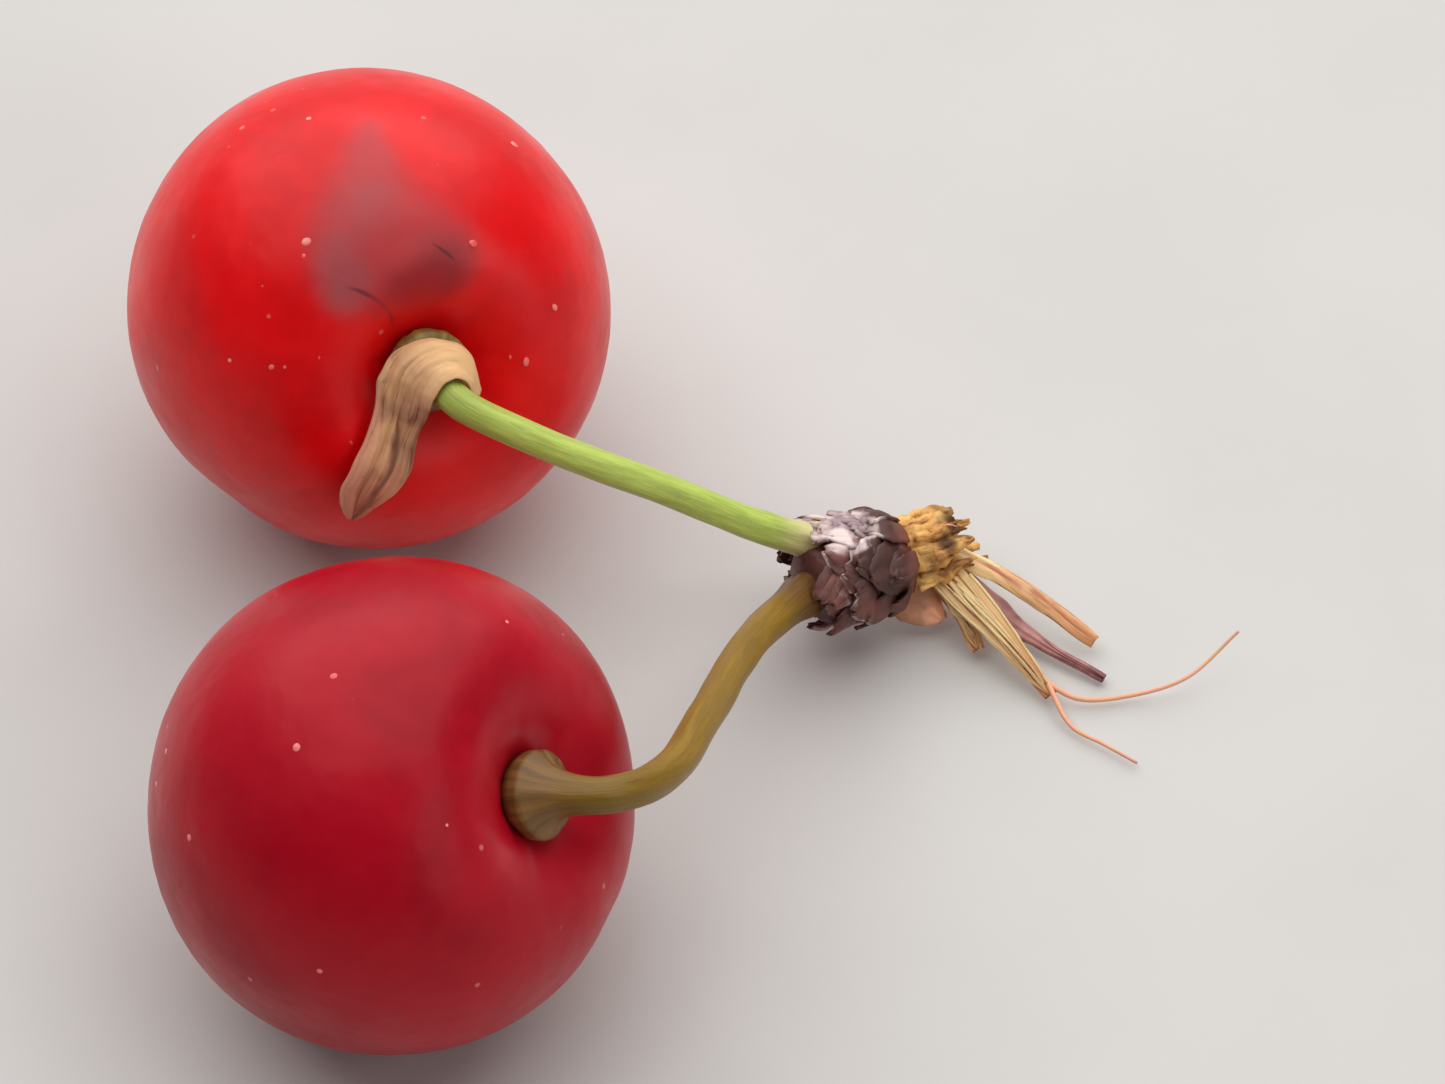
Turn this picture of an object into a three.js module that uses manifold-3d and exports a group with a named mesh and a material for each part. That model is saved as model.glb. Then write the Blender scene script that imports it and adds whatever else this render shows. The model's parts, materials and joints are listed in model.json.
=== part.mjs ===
// A joined pair of sour cherries lying on a flat surface: two fruits, their two stalks, the woody spur knob
// that carries both, the torn wood behind the knob and a dried bract at one fruit.
// Millimetres, +Z up, the surface at Z = 0, the viewer's side at -Y. X and Y start below the bright cherry
// while the pieces are placed. The last lines move the origin to the middle of the pair's bottom.

import * as THREE from 'three';
import { mergeVertices } from 'three/addons/utils/BufferGeometryUtils.js';
import Module from 'manifold-3d';

// Where the fruits lie, which way their stem ends point, and what differs between them.
// suture is the angle of the groove round the fruit's axis.
const BRIGHT = {
  x: 0,
  y: 0,
  stemEnd: [0.365, -0.83, 0.416],
  width: 21.4,
  suture: 0.6,
  stalkRadius: 0.72,
};
const DEEP = {
  x: 1.8,
  y: -27.5,
  stemEnd: [0.79, -0.33, 0.505],
  width: 21.0,
  suture: 2.4,
  stalkRadius: 0.8,
};

// Both fruits.
const CHERRY_POLE = 10.0; // centre to pole, before the dimples
const CHERRY_SQUARENESS = 2.12; // 2 is an ellipse, more is fuller at the shoulders
const CAVITY_DEPTH = 3.6; // stem cavity
const CAVITY_SPREAD = 0.42; // radians from the pole
const APEX_DEPTH = 0.45; // dimple at the far pole
const APEX_SPREAD = 0.2;
const SUTURE_DEPTH = 0.22;
const SUTURE_SPREAD = 0.2;
const OVALNESS = 0.012; // wider across the suture than along it
const FLAT_DEPTH = 0.3; // how much of the fruit's bottom is pressed flat
const CHERRY_SECTORS = 44;
const CHERRY_ROWS = 26;
const ROW_CROWDING = 1.25; // more rows near the stem cavity

// Stalks. Distances along them are counted from the stem cavity.
const FLARE_RADIUS = 1.85; // broad end in the stem cavity
const FLARE_UNDERSIDE = [0.09, 0.17, 0.24]; // where it follows the cavity, as angles from the fruit's pole
const FLARE_RIM = 0.2; // the rim's height over the last of those
const FLARE_EDGE = 0.3; // thickness of the rim
const FLARE_TAPER = 0.6; // length over which the flare falls to a third
const KNOB_SWELL = 0.22; // extra radius at the spur
const KNOB_TAPER = 1.8;
const STALK_SECTORS = 12;
const STALK_STEP = 0.95;
const STEP_CROWDING = 1.15; // more rows at the flare
const STRAIGHT_START = 2.0; // the stalk leaves the cavity along the fruit's axis
const BRIGHT_ROUTE = [
  [4.4, -9.1, 14.4],
  [7.1, -9.9, 13.3],
  [9.9, -10.2, 11.9],
  [13.1, -10.1, 10.0],
  [16.6, -9.6, 7.2],
  [20.2, -8.8, 4.6],
];
const DEEP_ROUTE = [
  [10.9, -30.7, 14.8],
  [13.1, -28.6, 13.4],
  [14.9, -23.5, 11.0],
  [16.2, -18.5, 8.4],
  [17.7, -14.2, 6.0],
  [19.4, -10.8, 3.9],
];

// Spur knob. Distances along it are counted from the end that carries the stalks.
const SPUR_START = new THREE.Vector3(18.9, -10.5, 3.9);
const SPUR_AXIS = new THREE.Vector3(7.6, 3.4, -0.6).normalize();
const SPUR_CORE = [
  [0, 0], [1.15, 0.1], [1.8, 0.6], [2.1, 1.4], [1.9, 2.0], [2.15, 2.6], [1.95, 3.2],
  [2.1, 3.9], [1.95, 4.6], [1.65, 5.1], [0, 5.1],
];
const SPUR_SECTORS = 14;
const SCALE_COUNT = 16;
const SCALE_TURN = 2.4; // radians between one bud scale and the next
const SCALE_TURN_SPREAD = 0.5; // how far that varies, in all
const SCALE_FIRST = 5.0; // the first root, near the torn wood
const SCALE_PITCH = 0.14;
const SCALE_ROOT = 1.4; // distance of the roots from the axis, well inside the core
const SCALE_BELLY = 2.3; // distance of the scales' middles from the axis
const SCALE_LENGTH = [1.9, 2.7];
const SCALE_HALF_WIDTH = [0.95, 1.4];
const SCALE_TIP = [2.2, 2.8]; // distance of the tips from the axis
const SCALE_WRAP = 2.4;
const SCALE_THICKNESS = 0.62;
const TAN_SCALE = [[22.5, -9.2, 2.4], [23.8, -10.2, 1.35], [24.8, -10.8, 0.6]];
const TAN_SCALE_FACING = new THREE.Vector3(0.2, -0.7, 0.6);
const TAN_SCALE_HALF_WIDTH = 1.1;
const TAN_SCALE_WRAP = 3.12;

// Torn wood behind the knob.
const PLUG_RADIUS = 1.2; // heartwood that runs into the knob
const PLUG_FROM = 4.1;
const WOOD_FROM = 5.45;
const WOOD_RADIUS = 1.45;
const WOOD_END = 7.0;
const WOOD_SECTORS = 10;
const SPLINTER_COUNT = 12;
const SPLINTER_RING = [1.0, 1.3]; // distance from the axis, at the root and at the end
const SPLINTER_RADIUS = [0.4, 0.66];
const SPLINTER_POINT = 0.16; // radius at the end
const SPLINTER_SHOULDER = [0.9, 0.6]; // share of the radius that is left at a share of the length
const SPLINTER_END = [6.9, 9.2];
const SPLINTER_LEAN = 0.35; // how much the ends spread, most of them outwards
const SPLINTER_INWARD = 0.3; // share of them that lean inwards
const SPLINTER_TURN_SPREAD = 0.4; // radians
const SPLINTER_SIDES = 5;
const STRIP_FACING = new THREE.Vector3(0, -0.35, 0.94);
const STRIP_THICKNESS = 0.6;
const STRIP_WRAP = 1.6;
const STRIPS = [
  { half: 0.38, taper: 0.8, route: [[25.2, -7.6, 3.3], [28.8, -9.3, 2.3], [32.0, -11.1, 0.75]] },
  { half: 0.33, taper: 0.9, route: [[24.5, -8.3, 2.6], [25.9, -10.1, 2.0], [26.9, -11.5, 0.75]] },
  {
    half: 0.8,
    taper: 0.4,
    route: [[24.7, -8.0, 3.1], [25.9, -9.5, 2.8], [28.0, -11.7, 1.8], [30.0, -14.0, 0.65]],
  },
  {
    half: 0.75,
    taper: 0.45,
    route: [[25.0, -7.9, 2.4], [28.2, -10.2, 1.15], [30.2, -11.6, 0.75], [32.4, -12.9, 0.42]],
  },
];
const FIBRE_RADIUS = 0.3;
const FIBRE_STEP = 1.2;
const FIBRE_SIDES = 6;
const FIBRES = [
  [[29.6, -13.3, 0.9], [31.2, -14.1, 0.5], [33.5, -13.9, 0.45], [36.0, -13.4, 1.1], [38.3, -11.6, 2.1]],
  [[29.9, -13.5, 0.8], [30.9, -15.6, 0.42], [32.3, -16.6, 0.4], [33.7, -17.6, 0.36]],
];

// Dried bract: a ribbon that goes over the bright stalk's flare and hangs down the fruit. Its two edges,
// from its end right of the stalk to its tip.
const BRACT_OUTER_EDGE = [
  [5.35, -6.75, 13.5], [4.65, -6.05, 15], [3.4, -5.9, 15.85], [2.15, -6.3, 16.05],
  [1.2, -6.9, 15.65], [0.75, -7.75, 15], [0.5, -8.4, 13.8], [0.15, -9.35, 12.9],
  [-0.4, -10.25, 11.9], [-0.95, -10.8, 10.85], [-0.85, -10.95, 9.9], [-0.65, -11, 9.4],
];
const BRACT_INNER_EDGE = [
  [5.45, -7.95, 13.85], [5, -7.7, 15.2], [4.15, -8, 16], [3.25, -8.65, 15.9], [2.65, -9.1, 15.2],
  [2.55, -9.3, 14.15], [2.4, -9.3, 12.95], [2.15, -9.25, 11.6], [1.9, -9.8, 10.85],
  [1.3, -10.35, 10.25], [0.3, -10.8, 9.65], [-0.4, -11, 9.3],
];
const BRACT_THICKNESS = 0.6;
const BRACT_CROWN = 0.1; // how far its middle stands out, as a share of its width

const GAP = 0.35; // kept between pieces that meet
const BLOCK = 60; // size of the block under the surface that presses the fruits flat
const ROUTE_STEPS = 240; // places along a route where its cross directions are worked out

const wasm = await Module();
wasm.setup();
const { lerp } = THREE.MathUtils;

// ---- helpers ----------------------------------------------------------------------------------------

// The same row of draws in every run, each from 0 to 1.
function seededDraws(seed) {
  let state = seed;
  return () => {
    state = (state * 1664525 + 1013904223) % 4294967296;
    return state / 4294967296;
  };
}

function between([low, high], share) {
  return lerp(low, high, share);
}

function curveThrough(points) {
  const places = points.map((point) => new THREE.Vector3(...point));
  return new THREE.CatmullRomCurve3(places, false, 'centripetal');
}

function toSolid(geometry) {
  const bare = geometry.clone();
  bare.deleteAttribute('normal');
  bare.deleteAttribute('uv');
  const merged = mergeVertices(bare, 1e-4);
  const mesh = new wasm.Mesh({
    numProp: 3,
    vertProperties: new Float32Array(merged.attributes.position.array),
    triVerts: new Uint32Array(merged.index.array),
  });
  return new wasm.Manifold(mesh);
}

function toGeometry(solid) {
  const mesh = solid.getMesh();
  const geometry = new THREE.BufferGeometry();
  geometry.setAttribute('position', new THREE.BufferAttribute(new Float32Array(mesh.vertProperties), 3));
  geometry.setIndex(new THREE.BufferAttribute(new Uint32Array(mesh.triVerts), 1));
  geometry.computeVertexNormals();
  return geometry;
}

function fuse(geometries) {
  return geometries.map(toSolid).reduce((whole, piece) => whole.add(piece));
}

// A cut can leave a loose scrap: only the largest body is kept.
function largestBody(solid) {
  return solid.decompose().reduce((best, body) => (body.volume() > best.volume() ? body : best));
}

// A cube whose top face is at place's height.
function blockBelow(size, place) {
  const block = new THREE.BoxGeometry(size, size, size);
  block.translate(place.x, place.y, place.z - size / 2);
  return block;
}

// A round bar along a route. profile is a closed outline of [radius, distance along the route] pairs.
function bentLathe(route, profile, sectors) {
  const outline = profile.map(([radius, along]) => new THREE.Vector2(radius, along));
  const geometry = new THREE.LatheGeometry(outline, sectors);
  const length = route.getLength();
  const frames = route.computeFrenetFrames(ROUTE_STEPS);
  const position = geometry.attributes.position;
  for (let i = 0; i < position.count; i += 1) {
    const along = THREE.MathUtils.clamp(position.getY(i) / length, 0, 1);
    const step = Math.round(along * ROUTE_STEPS);
    const place = route.getPointAt(along);
    place.addScaledVector(frames.binormals[step], position.getX(i));
    place.addScaledVector(frames.normals[step], position.getZ(i));
    position.setXYZ(i, place.x, place.y, place.z);
  }
  geometry.computeVertexNormals();
  return geometry;
}

// A thin blade along a route. facing is the side that its outer face turns to. halfWidth, its half width,
// and wrap, the radius that it curls round, are functions of the distance along it from 0 to 1.
function blade({ route, facing, halfWidth, wrap, thickness, columns, rows }) {
  const geometry = new THREE.BoxGeometry(2, thickness, 1, columns, 1, rows);
  const position = geometry.attributes.position;
  for (let i = 0; i < position.count; i += 1) {
    const along = position.getZ(i) + 0.5;
    const tangent = route.getTangent(along);
    const side = new THREE.Vector3().crossVectors(facing, tangent).normalize();
    const out = new THREE.Vector3().crossVectors(tangent, side);
    const radius = wrap(along);
    const turn = (position.getX(i) * halfWidth(along)) / radius;
    const reach = radius + position.getY(i);
    const place = route.getPoint(along);
    place.addScaledVector(side, reach * Math.sin(turn));
    place.addScaledVector(out, reach * Math.cos(turn) - radius);
    position.setXYZ(i, place.x, place.y, place.z);
  }
  geometry.computeVertexNormals();
  return geometry;
}

// A scale's outline as a share of its half width: narrow root, full middle, rounded tip.
function ovate(along) {
  return Math.sin(Math.PI * (0.14 + 0.79 * along)) ** 0.6;
}

// ---- fruits -----------------------------------------------------------------------------------------

// Distance from a fruit's centre to its skin, at an angle from the stem end and an angle round the axis.
function cherryReach(cherry, polar, around) {
  const side = Math.sin(polar);
  const across = (side / (cherry.width / 2)) ** CHERRY_SQUARENESS;
  const upright = (Math.abs(Math.cos(polar)) / CHERRY_POLE) ** CHERRY_SQUARENESS;
  const oval = (across + upright) ** (-1 / CHERRY_SQUARENESS);
  const cavity = CAVITY_DEPTH * Math.exp(-((polar / CAVITY_SPREAD) ** 2));
  const apex = APEX_DEPTH * Math.exp(-(((Math.PI - polar) / APEX_SPREAD) ** 2));
  const fromSuture = Math.atan2(Math.sin(around - cherry.suture), Math.cos(around - cherry.suture));
  const groove = SUTURE_DEPTH * side ** 2 * Math.exp(-((fromSuture / SUTURE_SPREAD) ** 2));
  const cheeks = 1 - OVALNESS * side ** 2 * Math.cos(2 * fromSuture);
  return oval * cheeks - cavity - apex - groove;
}

// The bottom of the stem cavity, from the fruit's centre.
function cavityFloor(cherry) {
  return cherryReach(cherry, 0, 0);
}

function stemAxis(cherry) {
  return new THREE.Vector3(...cherry.stemEnd).normalize();
}

// Its stem end is at +Y and its centre at the origin.
function cherryGeometry(cherry) {
  const geometry = new THREE.SphereGeometry(1, CHERRY_SECTORS, CHERRY_ROWS);
  const position = geometry.attributes.position;
  const way = new THREE.Spherical();
  const point = new THREE.Vector3();
  for (let i = 0; i < position.count; i += 1) {
    way.setFromVector3(point.fromBufferAttribute(position, i));
    const polar = Math.PI * (way.phi / Math.PI) ** ROW_CROWDING;
    point.setFromSphericalCoords(cherryReach(cherry, polar, way.theta), polar, way.theta);
    position.setXYZ(i, point.x, point.y, point.z);
  }
  return geometry;
}

// Turns the stem end its way, sets the fruit down on the surface and presses its bottom flat.
function cherryMesh(name, cherry, material) {
  const mesh = new THREE.Mesh(cherryGeometry(cherry), material);
  mesh.name = name;
  mesh.quaternion.setFromUnitVectors(new THREE.Vector3(0, 1, 0), stemAxis(cherry));
  const lowest = new THREE.Box3().setFromObject(mesh, true).min.z;
  mesh.position.set(cherry.x, cherry.y, -lowest - FLAT_DEPTH);
  mesh.updateMatrixWorld();
  const below = blockBelow(BLOCK, new THREE.Vector3(cherry.x, cherry.y, 0));
  below.applyMatrix4(mesh.matrixWorld.clone().invert());
  mesh.geometry = toGeometry(toSolid(mesh.geometry).subtract(toSolid(below)));
  return mesh;
}

// ---- stalks -----------------------------------------------------------------------------------------

function stalkRoute(cherry, centre, points) {
  const start = centre.clone().addScaledVector(stemAxis(cherry), cavityFloor(cherry) + GAP);
  const straight = start.clone().addScaledVector(stemAxis(cherry), STRAIGHT_START);
  return curveThrough([start.toArray(), straight.toArray(), ...points]);
}

// The flare's underside, which follows the stem cavity, up to its rim.
function flareOutline(cherry) {
  const outline = [[0, 0]];
  for (const polar of FLARE_UNDERSIDE) {
    const reach = cherryReach(cherry, polar, 0);
    outline.push([reach * Math.sin(polar), reach * Math.cos(polar) - cavityFloor(cherry)]);
  }
  const rim = outline[outline.length - 1][1] + FLARE_RIM;
  outline.push([FLARE_RADIUS, rim]);
  return outline;
}

// The stalk's radius past the flare's rim, which is shoulder along it.
function stalkRadius(cherry, shoulder, along, length) {
  const flare = (FLARE_RADIUS - cherry.stalkRadius) * Math.exp(-(along - shoulder) / FLARE_TAPER);
  const swell = KNOB_SWELL * Math.exp(-(length - along) / KNOB_TAPER);
  return cherry.stalkRadius + flare + swell;
}

function stalkShoulder(cherry) {
  const outline = flareOutline(cherry);
  return outline[outline.length - 1][1] + FLARE_EDGE;
}

// room grows it all round, for the space that it needs in a neighbour.
function stalkGeometry(cherry, route, room = 0) {
  const length = route.getLength();
  const shoulder = stalkShoulder(cherry);
  const rows = Math.round((length - shoulder) / STALK_STEP);
  const profile = flareOutline(cherry);
  for (let row = 0; row <= rows; row += 1) {
    const along = lerp(shoulder, length, (row / rows) ** STEP_CROWDING);
    profile.push([stalkRadius(cherry, shoulder, along, length) + room, along]);
  }
  profile.push([0, length]);
  return bentLathe(route, profile, STALK_SECTORS);
}

function stalkRoom(cherry, route) {
  const end = new THREE.SphereGeometry(cherry.stalkRadius + KNOB_SWELL + GAP, STALK_SECTORS, 8);
  end.translate(...route.getPoint(1).toArray());
  return fuse([stalkGeometry(cherry, route, GAP), end]);
}

// ---- spur -------------------------------------------------------------------------------------------

function spurPoint(along) {
  return SPUR_START.clone().addScaledVector(SPUR_AXIS, along);
}

function spurLine(from, to) {
  return new THREE.LineCurve3(spurPoint(from), spurPoint(to));
}

// A direction square to the spur's axis, at an angle round it from straight up.
function spurSide(around) {
  const up = new THREE.Vector3(0, 0, 1).projectOnPlane(SPUR_AXIS).normalize();
  return up.applyAxisAngle(SPUR_AXIS, around);
}

// Bud scales point from the torn wood towards the stalks, hug the core and lift at their tips.
function budScale(index, draw) {
  const side = spurSide(index * SCALE_TURN + (draw() - 0.5) * SCALE_TURN_SPREAD);
  const length = between(SCALE_LENGTH, draw());
  const half = between(SCALE_HALF_WIDTH, draw());
  const from = SCALE_FIRST - SCALE_PITCH * index;
  const root = spurPoint(from).addScaledVector(side, SCALE_ROOT);
  const belly = spurPoint(from - length / 2).addScaledVector(side, SCALE_BELLY);
  const tip = spurPoint(from - length).addScaledVector(side, between(SCALE_TIP, draw()));
  return blade({
    route: new THREE.CatmullRomCurve3([root, belly, tip]),
    facing: side,
    halfWidth: (along) => half * ovate(along),
    wrap: () => SCALE_WRAP,
    thickness: SCALE_THICKNESS,
    columns: 3,
    rows: 4,
  });
}

function tanScale() {
  return blade({
    route: curveThrough(TAN_SCALE),
    facing: TAN_SCALE_FACING,
    halfWidth: (along) => TAN_SCALE_HALF_WIDTH * ovate(along),
    wrap: () => TAN_SCALE_WRAP,
    thickness: SCALE_THICKNESS,
    columns: 4,
    rows: 4,
  });
}

// rooms are the spaces that the stalks need where they enter the knob.
function spurGeometry(rooms) {
  const draw = seededDraws(11);
  const pieces = [bentLathe(spurLine(0, SPUR_CORE[SPUR_CORE.length - 1][1]), SPUR_CORE, SPUR_SECTORS)];
  for (let index = 0; index < SCALE_COUNT; index += 1) {
    pieces.push(budScale(index, draw));
  }
  pieces.push(tanScale());
  const underground = toSolid(blockBelow(2 * BLOCK, new THREE.Vector3()));
  const cuts = [tornWood(GAP), underground, ...rooms];
  return toGeometry(largestBody(cuts.reduce((rest, cut) => rest.subtract(cut), fuse(pieces))));
}

// ---- torn wood --------------------------------------------------------------------------------------

function splinter(index, draw, room) {
  const side = spurSide((index / SPLINTER_COUNT) * Math.PI * 2 + draw() * SPLINTER_TURN_SPREAD);
  const radius = between(SPLINTER_RADIUS, draw()) + room;
  const end = between(SPLINTER_END, draw()) + room;
  const lean = SPLINTER_LEAN * (draw() - SPLINTER_INWARD);
  const from = spurPoint(WOOD_FROM - room).addScaledVector(side, SPLINTER_RING[0]);
  const route = new THREE.LineCurve3(from, spurPoint(end).addScaledVector(side, SPLINTER_RING[1] + lean));
  const length = route.getLength();
  const [slimmer, partWay] = SPLINTER_SHOULDER;
  const profile = [
    [0, 0],
    [radius, 0],
    [radius * slimmer, length * partWay],
    [SPLINTER_POINT + room, length],
    [0, length],
  ];
  return bentLathe(route, profile, SPLINTER_SIDES);
}

function woodStrip({ route, half, taper }, room) {
  return blade({
    route: curveThrough(route),
    facing: STRIP_FACING,
    halfWidth: (along) => half * lerp(1, taper, along ** 2) + room,
    wrap: () => STRIP_WRAP,
    thickness: STRIP_THICKNESS + 2 * room,
    columns: 3,
    rows: 7,
  });
}

function fibre(points, room) {
  const route = curveThrough(points);
  const length = route.getLength();
  const rows = Math.round(length / FIBRE_STEP);
  const profile = [[0, 0]];
  for (let row = 0; row <= rows; row += 1) {
    profile.push([FIBRE_RADIUS + room, (length * row) / rows]);
  }
  profile.push([0, length]);
  return bentLathe(route, profile, FIBRE_SIDES);
}

// room grows every part of it, for the space that it needs in the knob.
function tornWood(room = 0) {
  const draw = seededDraws(5);
  const heart = [
    [0, PLUG_FROM - room],
    [PLUG_RADIUS + room, PLUG_FROM - room],
    [PLUG_RADIUS + room, WOOD_FROM - room],
    [WOOD_RADIUS + room, WOOD_FROM - room],
    [WOOD_RADIUS + room, WOOD_END],
    [0, WOOD_END],
  ];
  const pieces = [bentLathe(spurLine(0, WOOD_END), heart, WOOD_SECTORS)];
  for (let index = 0; index < SPLINTER_COUNT; index += 1) {
    pieces.push(splinter(index, draw, room));
  }
  STRIPS.forEach((strip) => pieces.push(woodStrip(strip, room)));
  FIBRES.forEach((points) => pieces.push(fibre(points, room)));
  return fuse(pieces);
}

// ---- dried bract ------------------------------------------------------------------------------------

function bractGeometry() {
  const geometry = new THREE.BoxGeometry(1, BRACT_THICKNESS, 1, 5, 1, 32);
  const outer = curveThrough(BRACT_OUTER_EDGE);
  const inner = curveThrough(BRACT_INNER_EDGE);
  const position = geometry.attributes.position;
  for (let i = 0; i < position.count; i += 1) {
    const along = position.getZ(i) + 0.5;
    const across = inner.getPoint(along).sub(outer.getPoint(along));
    const tangent = inner.getTangent(along).add(outer.getTangent(along));
    const out = new THREE.Vector3().crossVectors(tangent, across).normalize();
    const crown = BRACT_CROWN * across.length() * (1 - (2 * position.getX(i)) ** 2);
    const place = outer.getPoint(along).addScaledVector(across, position.getX(i) + 0.5);
    place.addScaledVector(out, crown + position.getY(i));
    position.setXYZ(i, place.x, place.y, place.z);
  }
  geometry.computeVertexNormals();
  return geometry;
}

// ---- the pair ---------------------------------------------------------------------------------------

function finish(color, roughness) {
  return new THREE.MeshStandardMaterial({ color, roughness, metalness: 0 });
}

function namedMesh(name, geometry, material) {
  const mesh = new THREE.Mesh(geometry, material);
  mesh.name = name;
  return mesh;
}

const bright = cherryMesh('cherry_bright', BRIGHT, finish(0xc40006, 0.3));
const deep = cherryMesh('cherry_deep', DEEP, finish(0xa0141c, 0.3));
const brightRoute = stalkRoute(BRIGHT, bright.position, BRIGHT_ROUTE);
const deepRoute = stalkRoute(DEEP, deep.position, DEEP_ROUTE);
const stalkRooms = [stalkRoom(BRIGHT, brightRoute), stalkRoom(DEEP, deepRoute)];

const pair = new THREE.Group();
pair.add(
  bright,
  deep,
  namedMesh('stalk_bright', stalkGeometry(BRIGHT, brightRoute), finish(0xb2cf5c, 0.5)),
  namedMesh('stalk_deep', stalkGeometry(DEEP, deepRoute), finish(0x8a7a22, 0.5)),
  namedMesh('dried_bract', bractGeometry(), finish(0xcf9f78, 0.75)),
  namedMesh('spur', spurGeometry(stalkRooms), finish(0x6a4942, 0.7)),
  namedMesh('torn_wood', toGeometry(largestBody(tornWood())), finish(0xca8e47, 0.8)),
);

// The origin goes to the middle of the pair's bottom.
const extent = new THREE.Box3().setFromObject(pair, true);
const middle = extent.getCenter(new THREE.Vector3());
pair.position.set(-middle.x, -middle.y, -extent.min.z);

export default pair;
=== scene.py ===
import json
import math
import random

import bmesh
import bpy
from mathutils import Matrix, Vector, noise


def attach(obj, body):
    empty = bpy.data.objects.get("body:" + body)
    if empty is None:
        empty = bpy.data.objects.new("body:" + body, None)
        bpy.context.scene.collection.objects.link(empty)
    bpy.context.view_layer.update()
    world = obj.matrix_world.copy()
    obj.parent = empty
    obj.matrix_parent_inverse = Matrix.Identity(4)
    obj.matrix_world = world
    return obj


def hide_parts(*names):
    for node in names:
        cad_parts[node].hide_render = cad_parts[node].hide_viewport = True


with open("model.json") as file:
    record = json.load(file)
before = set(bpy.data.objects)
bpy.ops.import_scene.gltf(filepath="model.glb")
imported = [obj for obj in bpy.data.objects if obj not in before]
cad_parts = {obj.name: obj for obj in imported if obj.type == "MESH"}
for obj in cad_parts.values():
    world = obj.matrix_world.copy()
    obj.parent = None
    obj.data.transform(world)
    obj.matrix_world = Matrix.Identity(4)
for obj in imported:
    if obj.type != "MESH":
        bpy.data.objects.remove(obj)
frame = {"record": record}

bl_info = {
    "name": "Cherries on stalks",
    "version": (1, 0, 0),
    "blender": (4, 5, 0),
    "location": "3D View > Sidebar > Cherries",
    "description": "Builds a joined pair of sour cherries with their stalks, spur and torn wood",
    "category": "Add Mesh",
}

# Shapes are worked out in millimetres, with the origin on the floor under the bright fruit.
# TO_FRAME takes them to the frame's metres.
MM_PER_M = 1000
BRIGHT_PLACE = (-13.8948, 13.9031, 0.0)
TO_FRAME = Matrix.Scale(1 / MM_PER_M, 4) @ Matrix.Translation(BRIGHT_PLACE)
SLOT_COLOURS = {row["slot"]: row["base_color"][:3] for row in frame["record"]["materials"]}

# ---- the pair's form, in millimetres ------------------------------------------------------------------

FRUITS = {
    "bright": {"x": 0.0, "y": 0.0, "stem": (0.365, -0.83, 0.416), "width": 21.4, "suture": 0.6},
    "deep": {"x": 1.8, "y": -27.5, "stem": (0.79, -0.33, 0.505), "width": 21.0, "suture": 2.4},
}
POLE = 10.0  # half a fruit's height along its stem
SQUARENESS = 2.12  # 2 is an ellipse
CAVITY = (3.6, 0.42)  # depth, and spread in radians from the pole
APEX = (0.45, 0.2)  # the scar's depth and spread, as above
SUTURE = (0.22, 0.2)  # the groove's depth and spread, as above
OVALNESS = 0.012
FLAT_DEPTH = 0.3  # how much the floor flattens a fruit
SKIN_INSET = 0.04  # keeps the fine skin inside the plain one
SKIN_FLOOR = 0.02  # how near the floor the skin comes
FLATTENED_BELOW = 0.25  # the skin bends into its flat spot from this height

STALKS = {
    "bright": {
        "radius": 0.72,
        "route": [
            (4.4, -9.1, 14.4), (7.1, -9.9, 13.3), (9.9, -10.2, 11.9),
            (13.1, -10.1, 10.0), (16.6, -9.6, 7.2), (20.2, -8.8, 4.6),
        ],
    },
    "deep": {
        "radius": 0.8,
        "route": [
            (10.9, -30.7, 14.8), (13.1, -28.6, 13.4), (14.9, -23.5, 11.0),
            (16.2, -18.5, 8.4), (17.7, -14.2, 6.0), (19.4, -10.8, 3.9),
        ],
    },
}
STALK_GAP = 0.35
STALK_STRAIGHT = 2.0
STALK_SHOULDER = 1.37
STALK_OVERRUN = 0.5  # how far the fine stalk runs on into the fruit and the knob
STALK_SIDES = 40
FLARE_RADIUS = 1.9
FLARE_TAPER = 0.6
FLARE_ROUNDING = 0.5  # how much narrower the flare is at its foot
KNOB_SWELL = 0.22
KNOB_TAPER = 1.8

# The spur's places are given by how far they lie along its axis.
SPUR_START = Vector((18.9, -10.5, 3.9))
SPUR_AXIS = Vector((7.6, 3.4, -0.6)).normalized()
SPUR_CORE = [  # radius and place
    (0.0, 0.1), (1.15, 0.12), (1.8, 0.6), (2.1, 1.4), (1.9, 2.0), (2.15, 2.6),
    (1.95, 3.2), (2.1, 3.9), (1.95, 4.6), (1.65, 5.1),
]
KNOB_SIDES = 72
KNOB_ROWS = 60
SCALE_COUNT = 16
SCALE_TURN = 2.4  # radians from each scale to the next
SCALE_TURN_SPREAD = 0.5
SCALE_FIRST = 5.0
SCALE_PITCH = 0.14
SCALE_ROOT = 1.4
SCALE_BELLY = 2.3
SCALE_LENGTH = (1.9, 2.7)
SCALE_HALF_WIDTH = (0.95, 1.4)
SCALE_TIP = (2.2, 2.8)
SCALE_WRAP = 2.4
SCALE_SEED = 11
SMALL_SCALE_TURN = 0.8
SMALL_SCALE_FROM = (1.5, 5.0)
SMALL_SCALE_ROOT = 1.65
SMALL_SCALE_BELLY = (2.1, 2.35)
SMALL_SCALE_LENGTH = (1.0, 1.6)
SMALL_SCALE_HALF_WIDTH = (0.35, 0.8)
SMALL_SCALE_TIP = (2.05, 2.55)
SMALL_SCALE_SLANT = (-0.8, 0.8)
SMALL_SCALE_SEED = 23
WORN_AND_LIT_PLACES = [((20.3, -9.0, 6.0), 2.4), ((20.4, -11.5, 2.4), 1.6)]  # palest bark, and its half width; the first place, on the knob's top, is also a painted highlight
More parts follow.
